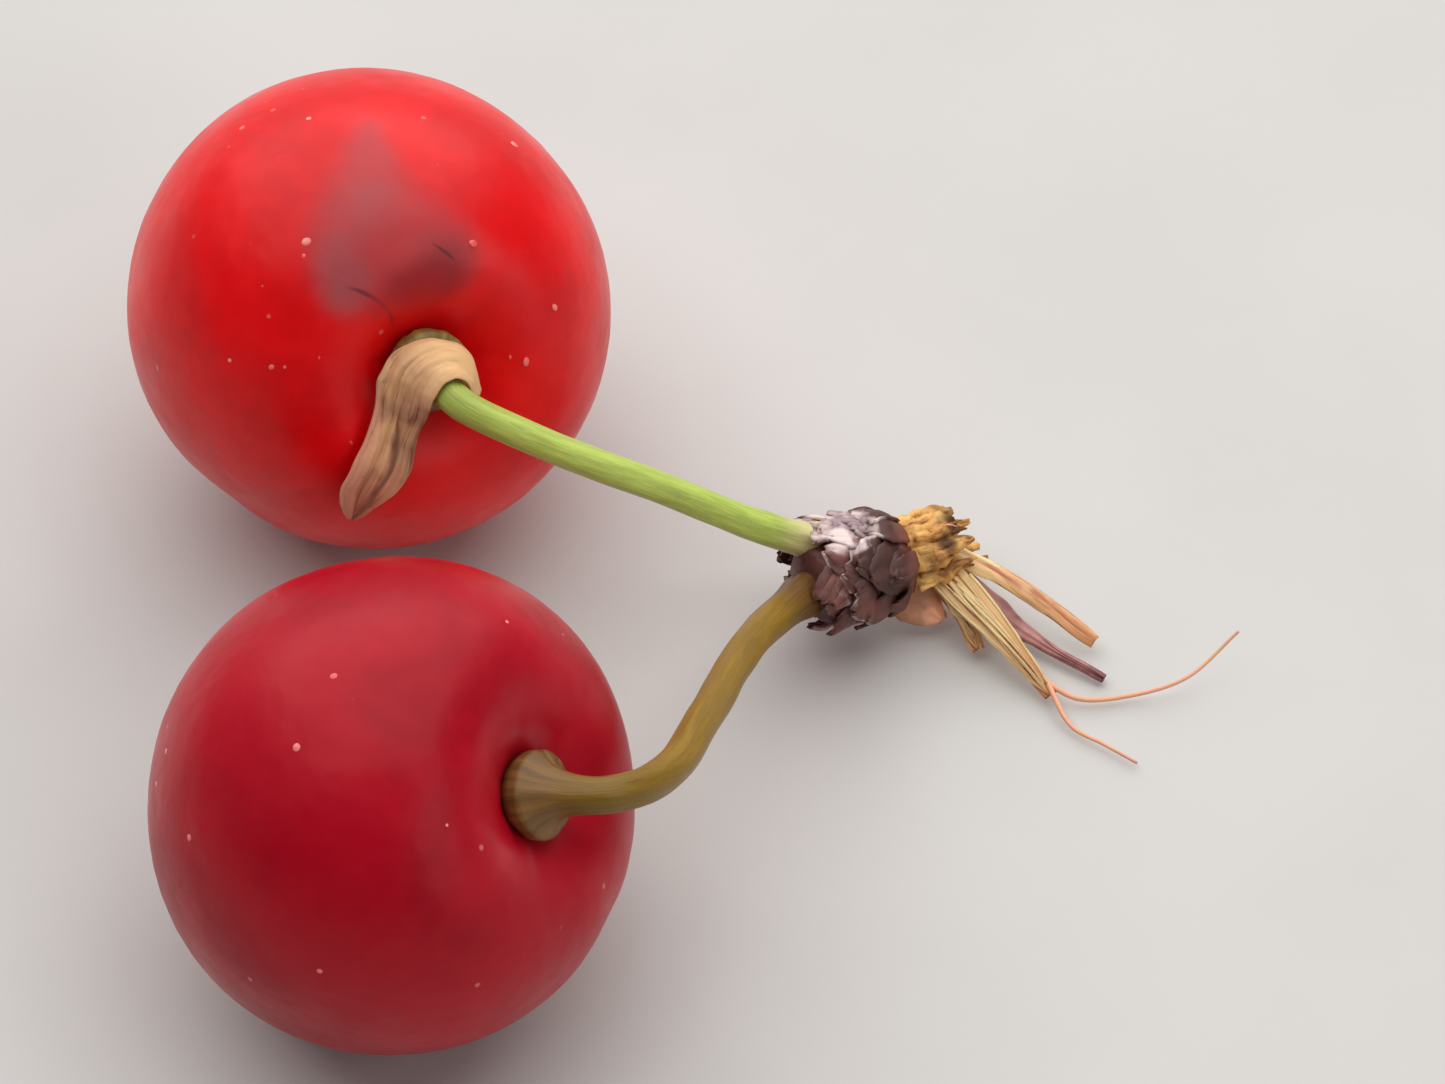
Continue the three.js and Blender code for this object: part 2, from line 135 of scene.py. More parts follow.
SILVERED = {"knob": 0.76, "scales": 0.68, "tan_scale": 0.70, "bark_strip": 0.95}
DUSK = (0.42, 0.37, 0.43)  # what is left of the silver's colour where it is dusky
TAN_SCALE = [(22.7, -9.0, 2.35), (24.2, -9.7, 1.8), (25.3, -10.1, 1.1)]
TAN_SCALE_FACING = Vector((0.2, -0.7, 0.6))
TAN_SCALE_HALF_WIDTH = 1.1
TAN_SCALE_WALL = 0.3
TAN_SCALE_WRAP = 3.12

WOOD_ROOT = 4.0  # inside the knob
WOOD_FROM = 5.0
WOOD_END = 7.0
WOOD_ROWS = 24
WOOD_SIDES = 48
WOOD_RADIUS = 1.3
WOOD_NARROWING = 0.25
SPLINTER_COUNT = 12
SPLINTER_ROWS = 14
SPLINTER_RING = (1.0, 1.3)
SPLINTER_RADIUS = (0.4, 0.66)
SPLINTER_END = (6.9, 9.2)
SPLINTER_LEAN = 0.35
SPLINTER_SEED = 5
FINE_SPLINTER_RING = (0.55, 1.8)
FINE_SPLINTER_FROM = (5.0, 6.2)
FINE_SPLINTER_END = (6.5, 8.1)
FINE_SPLINTER_RADIUS = (0.07, 0.26)
FINE_SPLINTER_SEED = 7
SHADED_WOOD_HOLLOWS = [((25.9, -7.3, 4.7), 1.3), ((25.5, -8.7, 4.7), 0.7)]  # painted shade of dark hollows in the torn end, and half widths
STRIP_FACING = Vector((0.0, -0.35, 0.94))
STRIP_WRAP = 1.6
STRAW_WALL = 0.28
BARK_WALL = 0.2
THREAD_ROWS = 80
THREAD_RADIUS = (0.035, 0.09)
STRIPS = {  # half width, taper and route
    "straw_long": (0.31, 0.8, [(25.2, -7.6, 3.3), (28.8, -9.3, 2.3), (32.0, -11.1, 0.75)]),
    "straw_short": (0.27, 0.8, [(24.5, -8.3, 2.6), (25.9, -10.1, 2.0), (26.9, -11.5, 0.75)]),
    "straw_wide": (
        0.8, 0.3, [(24.7, -8.0, 3.1), (25.9, -9.5, 2.8), (28.0, -11.7, 1.8), (30.0, -14.0, 0.65)]
    ),
    "bark_strip": (
        0.75, 0.14, [(25.0, -7.9, 2.4), (28.2, -10.2, 1.15), (30.2, -11.6, 0.75), (32.4, -12.9, 0.42)]
    ),
}
FIBRES = [  # routes of the two hair-fine fibres
    [(29.6, -13.3, 0.9), (31.2, -14.1, 0.5), (33.5, -13.9, 0.45), (36.0, -13.4, 1.1), (38.3, -11.6, 2.1)],
    [(29.9, -13.5, 0.8), (30.9, -15.6, 0.42), (32.3, -16.6, 0.4), (33.7, -17.6, 0.36)],
]
LOOSE_HAIR_FROM = (5.5, 8.0)
LOOSE_HAIR_RING = 1.3
LOOSE_HAIR_LENGTH = (0.8, 2.2)
LOOSE_HAIR_SEED = 17

# The bract's two edges, from its end right of the stalk, over the flare, to its tip on the fruit.
BRACT_OUTER_EDGE = [
    (5.0, -7.14, 13.2), (4.45, -6.3, 14.75), (3.35, -6.2, 15.35), (2.3, -6.5, 15.45),
    (1.4, -6.9, 15.15), (0.9, -7.5, 14.6), (0.6, -8.15, 13.5), (0.2, -9.1, 12.6),
    (-0.45, -10.0, 11.55), (-1.0, -10.5, 10.35), (-0.9, -10.6, 9.25), (-0.6, -10.6, 8.75),
]
BRACT_INNER_EDGE = [
    (4.6, -8.28, 13.62), (4.55, -8.2, 14.7), (4.1, -8.38, 15.3), (3.6, -8.7, 15.2),
    (3.2, -9.0, 14.65), (2.95, -8.95, 13.55), (2.5, -8.8, 12.45), (2.15, -9.0, 11.5),
    (1.95, -9.55, 10.65), (1.35, -10.05, 9.9), (0.35, -10.45, 9.25), (-0.4, -10.6, 8.75),
]
BRACT_CROWN = 0.1  # rise of its middle, as a share of its width
BRACT_COLUMNS = 48
BRACT_STEPS = 13  # rows between two points of an edge

# How near the floor a piece may come, and how thin a tube may be.
SCALE_CLEARANCE = 0.06
FIBRE_CLEARANCE = 0.05
THINNEST = 0.004

# ---- small tools --------------------------------------------------------------------------------------


def lerp(low, high, share):
    return low + (high - low) * share


def between(pair, share):
    return lerp(pair[0], pair[1], share)


def bell(value, width):
    """1 at nought, and next to nothing two widths away."""
    return math.exp(-((value / width) ** 2))


def smooth(value, low, high):
    share = min(max((value - low) / (high - low), 0.0), 1.0)
    return share * share * (3.0 - 2.0 * share)


def seeded_draws(seed):
    state = seed
    while True:
        state = (state * 1664525 + 1013904223) % 4294967296
        yield state / 4294967296


def smooth_line(points, steps):
    """A smooth curve through the points, with as many steps from each to the next."""
    knots = [Vector(point) for point in points]
    knots = [2 * knots[0] - knots[1], *knots, 2 * knots[-1] - knots[-2]]
    fine = []
    for i in range(1, len(knots) - 2):
        p0, p1, p2, p3 = knots[i - 1 : i + 3]
        d0, d1, d2 = (math.sqrt((b - a).length) for a, b in ((p0, p1), (p1, p2), (p2, p3)))
        m1 = ((p1 - p0) / d0 - (p2 - p0) / (d0 + d1) + (p2 - p1) / d1) * d1
        m2 = ((p2 - p1) / d1 - (p3 - p1) / (d1 + d2) + (p3 - p2) / d2) * d1
        for step in range(steps):
            t = step / steps
            fine.append(
                (2 * t**3 - 3 * t**2 + 1) * p1 + (t**3 - 2 * t**2 + t) * m1
                + (3 * t**2 - 2 * t**3) * p2 + (t**3 - t**2) * m2
            )
    fine.append(knots[-2])
    return fine


def route_through(points, count=200):
    """Evenly spaced places on a smooth curve through the points, and its length."""
    fine = smooth_line(points, 60)
    reach = [0.0]
    for a, b in zip(fine, fine[1:]):
        reach.append(reach[-1] + (b - a).length)
    places, at = [], 0
    for i in range(count):
        goal = reach[-1] * i / (count - 1)
        while at < len(fine) - 2 and reach[at + 1] < goal:
            at += 1
        share = (goal - reach[at]) / max(reach[at + 1] - reach[at], 1e-9)
        places.append(fine[at].lerp(fine[at + 1], share))
    return places, reach[-1]


def frames_along(places, facing=None):
    """A turned frame at each place: X across, Y outwards, Z along."""
    side = None
    made = []
    for i, place in enumerate(places):
        ahead = places[min(i + 1, len(places) - 1)] - places[max(i - 1, 0)]
        ahead.normalize()
        if facing is not None:
            side = facing.cross(ahead)
        elif side is None:
            side = ahead.orthogonal()
        side = (side - ahead * side.dot(ahead)).normalized()
        out = ahead.cross(side)
        turned = Matrix((side, out, ahead)).transposed().to_4x4()
        made.append(Matrix.Translation(place) @ turned)
    return made


def once_each(items):
    """The items without repeats, in their own order, which a set would not keep."""
    return list(dict.fromkeys(items))


def ring_edges(ring):
    chosen = set(ring)
    return once_each(e for v in ring for e in v.link_edges if e.other_vert(v) in chosen)


def close_ring(shape, ring):
    bmesh.ops.edgeloop_fill(shape, edges=ring_edges(ring))


def way_layers(shape):
    """The layers that say how far along and how far round or across each vertex lies."""
    layers = shape.verts.layers.float
    return [layers.get(name) or layers.new(name) for name in ("along", "around")]


def tube(shape, places, radius, sides, relief=None):
    """Extrudes a ring along the places.

    radius is a function of the share of the way, relief of the share and the angle round the ring.
    """
    along, around = way_layers(shape)
    ring = bmesh.ops.create_circle(shape, segments=sides, radius=1.0)["verts"]
    for i, vert in enumerate(ring):
        vert[around] = math.atan2(vert.co.y, vert.co.x)
    frames = frames_along(places)
    made = []
    here = None
    for i, turned in enumerate(frames):
        share = i / (len(frames) - 1)
        wide = max(radius(share), THINNEST)
        there = turned @ Matrix.Diagonal((wide, wide, 1.0, 1.0))
        if here is None:
            bmesh.ops.transform(shape, matrix=there, verts=ring)
            close_ring(shape, ring)
        else:
            grown = bmesh.ops.extrude_edge_only(shape, edges=ring_edges(ring))["geom"]
            older = set(ring)
            ring = [item for item in grown if isinstance(item, bmesh.types.BMVert)]
            for vert in ring:
                below = next(e.other_vert(vert) for e in vert.link_edges if e.other_vert(vert) in older)
                vert[around] = below[around]
            bmesh.ops.transform(shape, matrix=there @ here.inverted(), verts=ring)
        for vert in ring:
            vert[along] = share
            made.append((vert, turned.translation.copy(), share))
        here = there
    close_ring(shape, ring)
    if relief:
        for vert, middle, share in made:
            away = vert.co - middle
            vert.co = middle + away * (1.0 + relief(share, vert[around]) / max(away.length, 0.01))


def blade(shape, route, facing, half_width, wrap, columns, rows, thickness, relief):
    """Lays a grid along a route, curls it across with a radius of wrap, and gives it a wall."""
    along, around = way_layers(shape)
    places, _ = route_through(route, rows + 1)
    frames = frames_along(places, facing)
    grid = bmesh.ops.create_grid(shape, x_segments=columns, y_segments=rows, size=1.0)["verts"]
    for vert in grid:
        share, across = (vert.co.y + 1) / 2, vert.co.x
        turned = frames[round(share * rows)]
        angle = across * half_width(share, across) / wrap
        reach = wrap + relief(share, across)
        spot = Vector((reach * math.sin(angle), reach * math.cos(angle) - wrap, 0.0))
        vert.co = turned @ spot
        vert[along], vert[around] = share, across
    give_wall(shape, once_each(face for vert in grid for face in vert.link_faces), thickness)


def give_wall(shape, faces, thickness):
    """Closes a sheet with a second side, a wall's thickness below the first."""
    bmesh.ops.recalc_face_normals(shape, faces=faces)
    shape.normal_update()
    normals = {vert: vert.normal.copy() for face in faces for vert in face.verts}
    grown = bmesh.ops.extrude_face_region(shape, geom=faces, use_keep_orig=True)["geom"]
    for vert in (item for item in grown if isinstance(item, bmesh.types.BMVert)):
        vert.normal_update()
        vert.co -= nearest_normal(vert, normals) * thickness


def nearest_normal(vert, normals):
    """The normal of the vertex that this one was extruded from, which lies in the same place."""
    for edge in vert.link_edges:
        twin = edge.other_vert(vert)
        if twin in normals and (twin.co - vert.co).length < 1e-7:
            return normals[twin]
    return vert.normal


def lift_off_floor(shape, clearance):
    for vert in shape.verts:
        vert.co.z = max(vert.co.z, clearance)


def finish_piece(name, shape, material, replaced=()):
    """Makes the piece's object and hides the solids that it stands for, if any."""
    bmesh.ops.transform(shape, matrix=TO_FRAME, verts=shape.verts)
    bmesh.ops.recalc_face_normals(shape, faces=shape.faces)
    mesh = bpy.data.meshes.new(name)
    shape.to_mesh(mesh)
    shape.free()
    mesh.polygons.foreach_set("use_smooth", [True] * len(mesh.polygons))
    mesh.materials.append(material)
    piece = bpy.data.objects.new(name, mesh)
    bpy.context.scene.collection.objects.link(piece)
    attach(piece, "root")
    if replaced:
        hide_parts(*replaced)


# ---- finishes -----------------------------------------------------------------------------------------


class Finish:
    """One material, built up node by node. Places are in the frame's metres."""

    def __init__(self, name):
        self.material = bpy.data.materials.new(name)
        self.material.use_nodes = True
        self.tree = self.material.node_tree
        self.tree.nodes.clear()
        self.shader = self.add("BsdfPrincipled")
        output = self.add("OutputMaterial")
        self.tree.links.new(self.shader.outputs[0], output.inputs["Surface"])
        self.place = self.add("TexCoord").outputs["Object"]

    def add(self, kind, inputs=None, **settings):
        """A new node. An input is a number, a colour or another node's socket."""
        node = self.tree.nodes.new("ShaderNode" + kind)
        for key, value in settings.items():
            setattr(node, key, value)
        self.feed(node, inputs or {})
        return node

    def feed(self, node, inputs):
        for key, value in inputs.items():
            if isinstance(value, bpy.types.NodeSocket):
                self.tree.links.new(value, node.inputs[key])
            else:
                node.inputs[key].default_value = value

    def surface(self, **inputs):
        """Feeds the shader. An underscore stands for the space in a socket's name."""
        self.feed(self.shader, {key.replace("_", " "): value for key, value in inputs.items()})

    def grain(self, scale, detail=3.0, where=None, distortion=0.0):
        """Noise whose lumps are about 1 / scale metres across."""
        where = where or self.place
        made = self.add(
            "TexNoise", {"Vector": where, "Scale": scale, "Detail": detail, "Distortion": distortion}
        )
        return made.outputs["Fac"]

    def stretched(self, scale):
        """Places scaled by a number for each axis, for grain that is longer one way."""
        return self.add("Mapping", {"Vector": self.place, "Scale": scale}).outputs[0]

    def range(self, value, low, high, to_low=0.0, to_high=1.0):
        """Softly takes the values from low to high to new ones, and holds them beyond."""
        made = self.add(
            "MapRange",
            {"Value": value, "From Min": low, "From Max": high, "To Min": to_low, "To Max": to_high},
            interpolation_type="SMOOTHSTEP",
        )
        return made.outputs[0]

    def sum(self, operation, first, second=0.0):
        return self.add("Math", {0: first, 1: second}, operation=operation).outputs[0]

    def colour(self, share, first, second):
        """A mix of two colours, with the second one's share of it."""
        made = self.add("Mix", {0: share, 6: opaque(first), 7: opaque(second)}, data_type="RGBA")
        return made.outputs[2]

    def wash(self, share, strength, first, second):
        """The first colour, with the second over it at a part of the share."""
        return self.colour(self.sum("MULTIPLY", share, strength), first, second)

    def patch(self, centre, radii, wander, turn=(0.0, 0.0, 0.0)):
        """1 in the middle of an egg-shaped place and 0 at its edge, which wanders."""
        drift = self.add("TexNoise", {"Vector": self.place, "Scale": 420.0, "Detail": 3.0})
        middle = {0: drift.outputs["Color"], 1: (0.5, 0.5, 0.5)}
        off = self.add("VectorMath", middle, operation="SUBTRACT")
        moved = self.add("VectorMath", {0: off.outputs[0], "Scale": wander}, operation="SCALE")
        where = self.add("VectorMath", {0: self.place, 1: moved.outputs[0]}, operation="ADD")
        mapped = self.add(
            "Mapping",
            {"Vector": where.outputs[0], "Location": centre, "Rotation": turn, "Scale": radii},
            vector_type="TEXTURE",
        )
        ball = self.add("TexGradient", {"Vector": mapped.outputs[0]}, gradient_type="SPHERICAL")
        return ball.outputs["Fac"]

    def own(self, name):
        """A number that each vertex of the piece carries, such as its share of the way along."""
        return self.add("Attribute", attribute_name=name).outputs["Fac"]

    def bump(self, height, distance, strength=1.0, normal=None):
        inputs = {"Height": height, "Distance": distance, "Strength": strength}
        if normal:
            inputs["Normal"] = normal
        return self.add("Bump", inputs).outputs[0]


def opaque(colour):
    return colour if isinstance(colour, bpy.types.NodeSocket) else (*tuple(colour)[:3], 1.0)


def scaled(colour, share):
    return tuple(part * share for part in colour)


# ---- fruits -------------------------------------------------------------------------------------------


def skin_reach(fruit, polar, around):
    """From a fruit's centre to its plain skin, at an angle from the stem and one round it."""
    side = math.sin(polar)
    across = (side / (fruit["width"] / 2)) ** SQUARENESS
    upright = (abs(math.cos(polar)) / POLE) ** SQUARENESS
    oval = (across + upright) ** (-1 / SQUARENESS)
    cavity = CAVITY[0] * bell(polar, CAVITY[1])
    apex = APEX[0] * bell(math.pi - polar, APEX[1])
    turn = around - fruit["suture"]
    from_suture = math.atan2(math.sin(turn), math.cos(turn))
    groove = SUTURE[0] * side**2 * bell(from_suture, SUTURE[1])
    return oval * (1 - OVALNESS * side**2 * math.cos(2 * from_suture)) - cavity - apex - groove


def stem_axis(fruit):
    return Vector(fruit["stem"]).normalized()


def turned_up(fruit):
    return Vector((0, 1, 0)).rotation_difference(stem_axis(fruit)).to_matrix()


def fruit_centre(fruit):
    """The centre's height follows from the lowest place of the turned fruit."""
    turn = turned_up(fruit)
    lowest = 0.0
    for i in range(90):
        for j in range(180):
            polar, around = math.pi * (i + 0.5) / 90, math.pi * 2 * j / 180
            side = math.sin(polar)
            way = Vector((side * math.sin(around), math.cos(polar), side * math.cos(around)))
            lowest = min(lowest, (turn @ way).z * skin_reach(fruit, polar, around))
    return Vector((fruit["x"], fruit["y"], -lowest - FLAT_DEPTH))


CENTRES = {name: fruit_centre(fruit) for name, fruit in FRUITS.items()}
UPRIGHT = {name: turned_up(fruit).transposed() for name, fruit in FRUITS.items()}

# The pair is seen from 50 degrees up. Marks and beads are placed as they are seen from there, in
# millimetres right and up of the bright fruit's centre.
VIEW_SINE, VIEW_COSINE = 0.766, 0.643


def view_way(right, up, radius):
    """The way from a fruit's centre to the place seen right and up of it."""
    near = math.sqrt(max(radius**2 - right**2 - up**2, 0.0))
    back = VIEW_SINE * up - VIEW_COSINE * near
    return Vector((right, back, VIEW_COSINE * up + VIEW_SINE * near)).normalized()


# Unevenness of the fine skin: its depth, and how closely it is set.
BROAD_DENTS = (0.07, 1.7)
SMALL_DENTS = (0.018, 11)
PEBBLES = (0.016, 34)
PUCKER_RING = (0.3, 0.16)  # radians from the stem, and spread
PUCKER_COUNT = 9
PUCKER_DEPTH = 0.03

# Soft marks on the bright skin: right, up, half width and strength.
VEIL = [
    (0.3, 7.7, 0.8, 0.6), (0.4, 6.6, 1.1, 0.7), (0.4, 5.3, 1.5, 0.7), (0.2, 4.0, 1.7, 0.7),
    (-0.6, 2.8, 1.5, 0.7), (-0.8, 1.4, 1.3, 0.7), (-0.6, 0.2, 1.0, 0.6), (1.4, 3.0, 1.6, 0.6),
    (1.4, 1.3, 1.4, 0.7), (2.9, 3.3, 1.5, 0.5), (4.0, 2.5, 1.3, 0.6), (4.2, 1.4, 1.0, 0.5),
]
GREY = [
    (-0.8, 2.4, 1.1, 0.4), (-0.9, 1.3, 1.1, 0.5), (-0.7, 0.2, 0.9, 0.5), (0.4, 4.6, 1.3, 0.4),
    (0.3, 0.6, 1.0, 0.3),
]
DARK = [(3.9, 1.5, 1.2, 0.8), (2.9, 0.9, 1.1, 0.7), (1.8, 0.4, 1.0, 0.5), (0.8, -0.2, 0.8, 0.3)]
SPOT_SOFTNESS = 0.3  # how slowly spots that overlap reach full strength
VEIL_DEPTH = 0.06  # how far the bruised skin sinks

# Thin scratches: from, to, and half width.
SCRATCHES = [((-0.5, 0.75), (1.5, -0.95), 0.13), ((3.1, 2.6), (4.2, 1.8), 0.08)]
SCRATCH_REACH = 0.62  # from the middle, as a share of the scratch's length
SCRATCH_DEPTH = 0.6

# Beads of dew that are seen on the bright fruit: right, up and half width.
SEEN_DEW = [
    (-2.3, 2.6, 0.20), (-2.4, 2.0, 0.13), (-3.9, -2.8, 0.16), (-3.3, -2.8, 0.14), (-5.7, -2.5, 0.16),
    (-1.8, -2.4, 0.12), (6.9, -2.4, 0.22), (6.2, -2.2, 0.13), (4.9, 2.6, 0.20), (3.3, 6.0, 0.13),
    (-5.3, 7.7, 0.18), (-5.5, 7.0, 0.14), (-0.5, -6.1, 0.13), (8.4, -0.1, 0.18), (-4.2, 0.7, 0.14),
    (-6.5, 5.7, 0.12),
]
MORE_DEW = {"bright": 8, "deep": 26}
DEW_HEIGHT = 0.38  # of a bead's half width
DEW_SINK = 0.05
DEW_SEED = 41


def skin_angles(name, way):
    """How far from its stem a way leaves the fruit, and how far round it, in radians."""
    local = UPRIGHT[name] @ way
    return math.acos(min(max(local.y, -1), 1)), math.atan2(local.x, local.z)


def seen_on_skin(right, up):
    """The way from the bright fruit's centre to the skin seen there, and the skin's reach."""
    reach = 10.5  # a first guess, which each turn of the loop mends
    for _ in range(8):
        way = view_way(right, up, reach)
        reach = skin_reach(FRUITS["bright"], *skin_angles("bright", way)) - SKIN_INSET
    return way, reach


def soft_spots(marks):
    """Each mark as a way, a half width in radians and a strength."""
    spots = []
    for right, up, wide, strength in marks:
        way, reach = seen_on_skin(right, up)
        spots.append((way, wide / reach, strength))
    return spots


def spotted(way, spots):
    """How strongly the spots mark the skin here, from 0 to nearly 1."""
    total = 0
    for middle, wide, strength in spots:
        total += strength * bell(way.angle(middle), wide)
    return total**2 / (total**2 + SPOT_SOFTNESS)


def fine_reach(name, settings, way):
    """The skin's reach with its lumps, its pebbles and the puckers round its stem."""
    polar, around = skin_angles(name, way)
    seed = Vector((3.1, 7.7, 1.3)) * (1 if name == "bright" else 2)

    def dents(depth, closeness):
        return depth * (0.5 + noise.noise(way * closeness + seed))

    reach = skin_reach(FRUITS[name], polar, around) - SKIN_INSET
    reach -= dents(*BROAD_DENTS) + dents(*SMALL_DENTS)
    reach -= settings.pebbling * smooth(polar, 0.3, 0.8) * dents(*PEBBLES)
    pucker = PUCKER_DEPTH * bell(polar - PUCKER_RING[0], PUCKER_RING[1])
    return reach - pucker * (1 + math.sin(PUCKER_COUNT * around + 3 * noise.noise(way * 4 + seed)))


def fruit_piece(name, settings, material, replaced):
    shape = bmesh.new()
    bmesh.ops.create_icosphere(shape, subdivisions=settings.skin_detail, radius=1.0)
    marked = shape.verts.layers.float_color.new("marks")
    marks = [soft_spots(spots) for spots in (VEIL, GREY, DARK)]
    for vert in shape.verts:
        way = vert.co.normalized()
        shown = name == "bright" and way.z > 0
        veil, grey, dark = (spotted(way, spots) for spots in marks) if shown else (0.0, 0.0, 0.0)
        vert[marked] = (veil, grey, dark, 1.0)
        vert.co = CENTRES[name] + way * (fine_reach(name, settings, way) - VEIL_DEPTH * veil)
        if vert.co.z < FLATTENED_BELOW:
            height = smooth(vert.co.z, -FLAT_DEPTH, FLATTENED_BELOW) ** 1.5
            vert.co.z = lerp(SKIN_FLOOR, FLATTENED_BELOW, height)
    finish_piece(f"{name}_cherry", shape, material, replaced)


def skin_finish(name, settings, colour):
    centre = CENTRES[name]
    made = Finish(f"{name}_skin")

    broad = made.range(made.grain(130.0, 4.0, distortion=0.4), 0.36, 0.66)
    mottled = made.range(made.grain(900.0, 5.0), 0.4, 0.7)
    dark = scaled(colour, 0.70)
    pale = (min(colour[0] * 1.12, 1.0), colour[1] + 0.006, colour[2] + 0.005)
    skin = made.wash(broad, 0.75, colour, dark)
    skin = made.wash(mottled, 0.22, skin, pale)
    pores = made.add("TexVoronoi", {"Vector": made.place, "Scale": 1150.0}).outputs["Distance"]
    pore = made.range(pores, 0.0, 0.13, 1.0, 0.0)
    skin = made.wash(pore, 0.3, skin, pale)
    speckled = made.add("TexVoronoi", {"Vector": made.place, "Scale": 620.0})
    chance = made.add("SeparateColor", {0: speckled.outputs["Color"]}).outputs[0]
    few = made.sum("GREATER_THAN", chance, 0.66)
    speck = made.sum("MULTIPLY", made.range(speckled.outputs["Distance"], 0.05, 0.10, 1.0, 0.0), few)
    skin = made.wash(speck, 0.55, skin, settings.speck_colour)
    roughness = made.range(made.grain(260.0, 4.0), 0.3, 0.72, 0.34, 0.50)
    if name == "bright":
        painted = made.add("Attribute", attribute_name="marks").outputs["Color"]
        marks = made.add("SeparateColor", {0: painted})
        veiled = made.range(made.grain(520.0, 4.0), 0.2, 0.8, 0.72, 1.0)
        tones = (settings.veil_colour, settings.grey_colour, settings.dark_colour)
        for index, tone in enumerate(tones):
            share = made.sum("MULTIPLY", marks.outputs[index], veiled)
            skin = made.wash(share, settings.bruise, skin, tone)
        for first, last, wide in SCRATCHES:
            begin, stop = (centre + way * reach for way, reach in map(seen_on_skin, *zip(first, last)))
            turn = (stop - begin).to_track_quat("X", "Z").to_euler()
            radii = Vector(((stop - begin).length * SCRATCH_REACH, wide, SCRATCH_DEPTH)) / MM_PER_M
            scratch = made.patch(TO_FRAME @ ((begin + stop) / 2), radii, 0.0003, turn)
            skin = made.colour(made.range(scratch, 0.05, 0.6, 0.0, 0.8), skin, settings.scratch_colour)
    pebbled = settings.pebbling * (1.0 if name == "bright" else 1.7)
    lumps = made.bump(made.grain(1500.0, 4.0), 0.00004, 0.35 * pebbled)
    pitted = made.bump(pore, 0.00003, 0.35, lumps)
    made.surface(
        Base_Color=skin,
        Roughness=roughness,
        IOR=1.3,
        Specular_IOR_Level=1.0 if name == "bright" else 0.55,
        Specular_Tint=(1.0, 0.60, 0.58, 1.0),
        Subsurface_Weight=0.5,
        Subsurface_Radius=(1.0, 0.06, 0.04),
        Subsurface_Scale=0.0022,
        Coat_Weight=settings.gloss,
        Coat_Roughness=0.29,
        Coat_IOR=1.28,
        Normal=pitted,
        Coat_Normal=lumps,
    )
    return made.material


def dew_piece(settings, material):
    """The beads that are seen, and more at random where the fruits are seen from other sides."""
    shape = bmesh.new()
    rng = random.Random(DEW_SEED)
    beads = [("bright", seen_on_skin(right, up)[0], size) for right, up, size in SEEN_DEW]
    for name, count in MORE_DEW.items():
        placed = 0
        while placed < count:
            way = Vector((rng.gauss(0, 1), rng.gauss(0, 1), rng.gauss(0, 1))).normalized()
            clear_of_stem = (UPRIGHT[name] @ way).y < 0.8
            if way.z > 0.05 and clear_of_stem and (name == "deep" or way.y > 0.1):
                size = settings.drop_size * MM_PER_M * (0.4 + 0.6 * rng.random() ** 2)
                beads.append((name, way, size))
                placed += 1
    for name, way, size in beads:
        stand = Vector((0, 0, 1)).rotation_difference(way).to_matrix().to_4x4()
        flat = Matrix.Diagonal((size * lerp(0.8, 1.25, rng.random()), size, size * DEW_HEIGHT, 1.0))
        foot = CENTRES[name] + way * (fine_reach(name, settings, way) - DEW_SINK)
        bmesh.ops.create_icosphere(
            shape, subdivisions=3, radius=1.0, matrix=Matrix.Translation(foot) @ stand @ flat
        )
    finish_piece("dew", shape, material)


def dew_finish(settings):
    made = Finish("dew")
    # The opaque beads are painted paler than the skin beneath, as painted glints of the drops.
    tone = made.range(made.grain(700.0, 2.0), 0.4, 0.6)
    wet = made.colour(tone, settings.dew_colour, settings.dew_glint)
    made.surface(
        Base_Color=wet,
        Roughness=0.14,
        IOR=1.45,
        Normal=made.bump(made.grain(2500.0, 1.0), 0.00001, 0.2),
    )
    return made.material


# ---- stalks -------------------------------------------------------------------------------------------


def stalk_route(name):
    fruit, axis = FRUITS[name], stem_axis(FRUITS[name])
    start = CENTRES[name] + axis * (skin_reach(fruit, 0.0001, 0.0) + STALK_GAP)
    return [start, start + axis * STALK_STRAIGHT, *STALKS[name]["route"]]


def stalk_radius(name, along, length):
    plain = STALKS[name]["radius"]
    flare = (FLARE_RADIUS - plain) * math.exp(-max(along - STALK_SHOULDER, 0) / FLARE_TAPER)
    flare -= FLARE_ROUNDING * smooth(STALK_SHOULDER - 0.3 - along, 0.0, 1.2)
    swell = KNOB_SWELL * math.exp(-(length - along) / KNOB_TAPER)
    return plain + flare + swell


def stalk_piece(name, settings, material, replaced):
    points = stalk_route(name)
    heel = points[0] - stem_axis(FRUITS[name]) * STALK_OVERRUN
    last = Vector(points[-1])
    tail = last + (last - Vector(points[-2])).normalized() * STALK_OVERRUN
    places, length = route_through([heel, *points, tail], settings.rows)
    seed = Vector((1.5, 4.5, 9.5)) if name == "bright" else Vector((8.2, 2.9, 5.1))

    def relief(share, around):
        ring = Vector((math.cos(around), math.sin(around), 0))
        rib = 0.022 * math.sin(5 * around + 1.5 * noise.noise(Vector((share * 6, 0, 0)) + seed))
        fine = 0.012 * noise.noise(Vector((ring.x * 5, ring.y * 5, share * 9)) + seed)
        lump = 0.045 * noise.noise(Vector((ring.x, ring.y, share * 13)) + seed)
        pleats = math.sin(10 * around) + math.sin(23 * around + seed.x)
        skirt = 0.05 * math.exp(-share * length / 1.6) * pleats
        knuckle = 0.10 * bell(share - 0.955, 0.03) * (1 + noise.noise(ring * 2 + seed))
        return rib + fine + lump + skirt + knuckle - 0.03

    def radius(share):
        return stalk_radius(name, share * length - STALK_OVERRUN, length - STALK_OVERRUN)

    shape = bmesh.new()
    tube(shape, places, radius, STALK_SIDES, relief)
    finish_piece(f"{name}_stalk", shape, material, replaced)


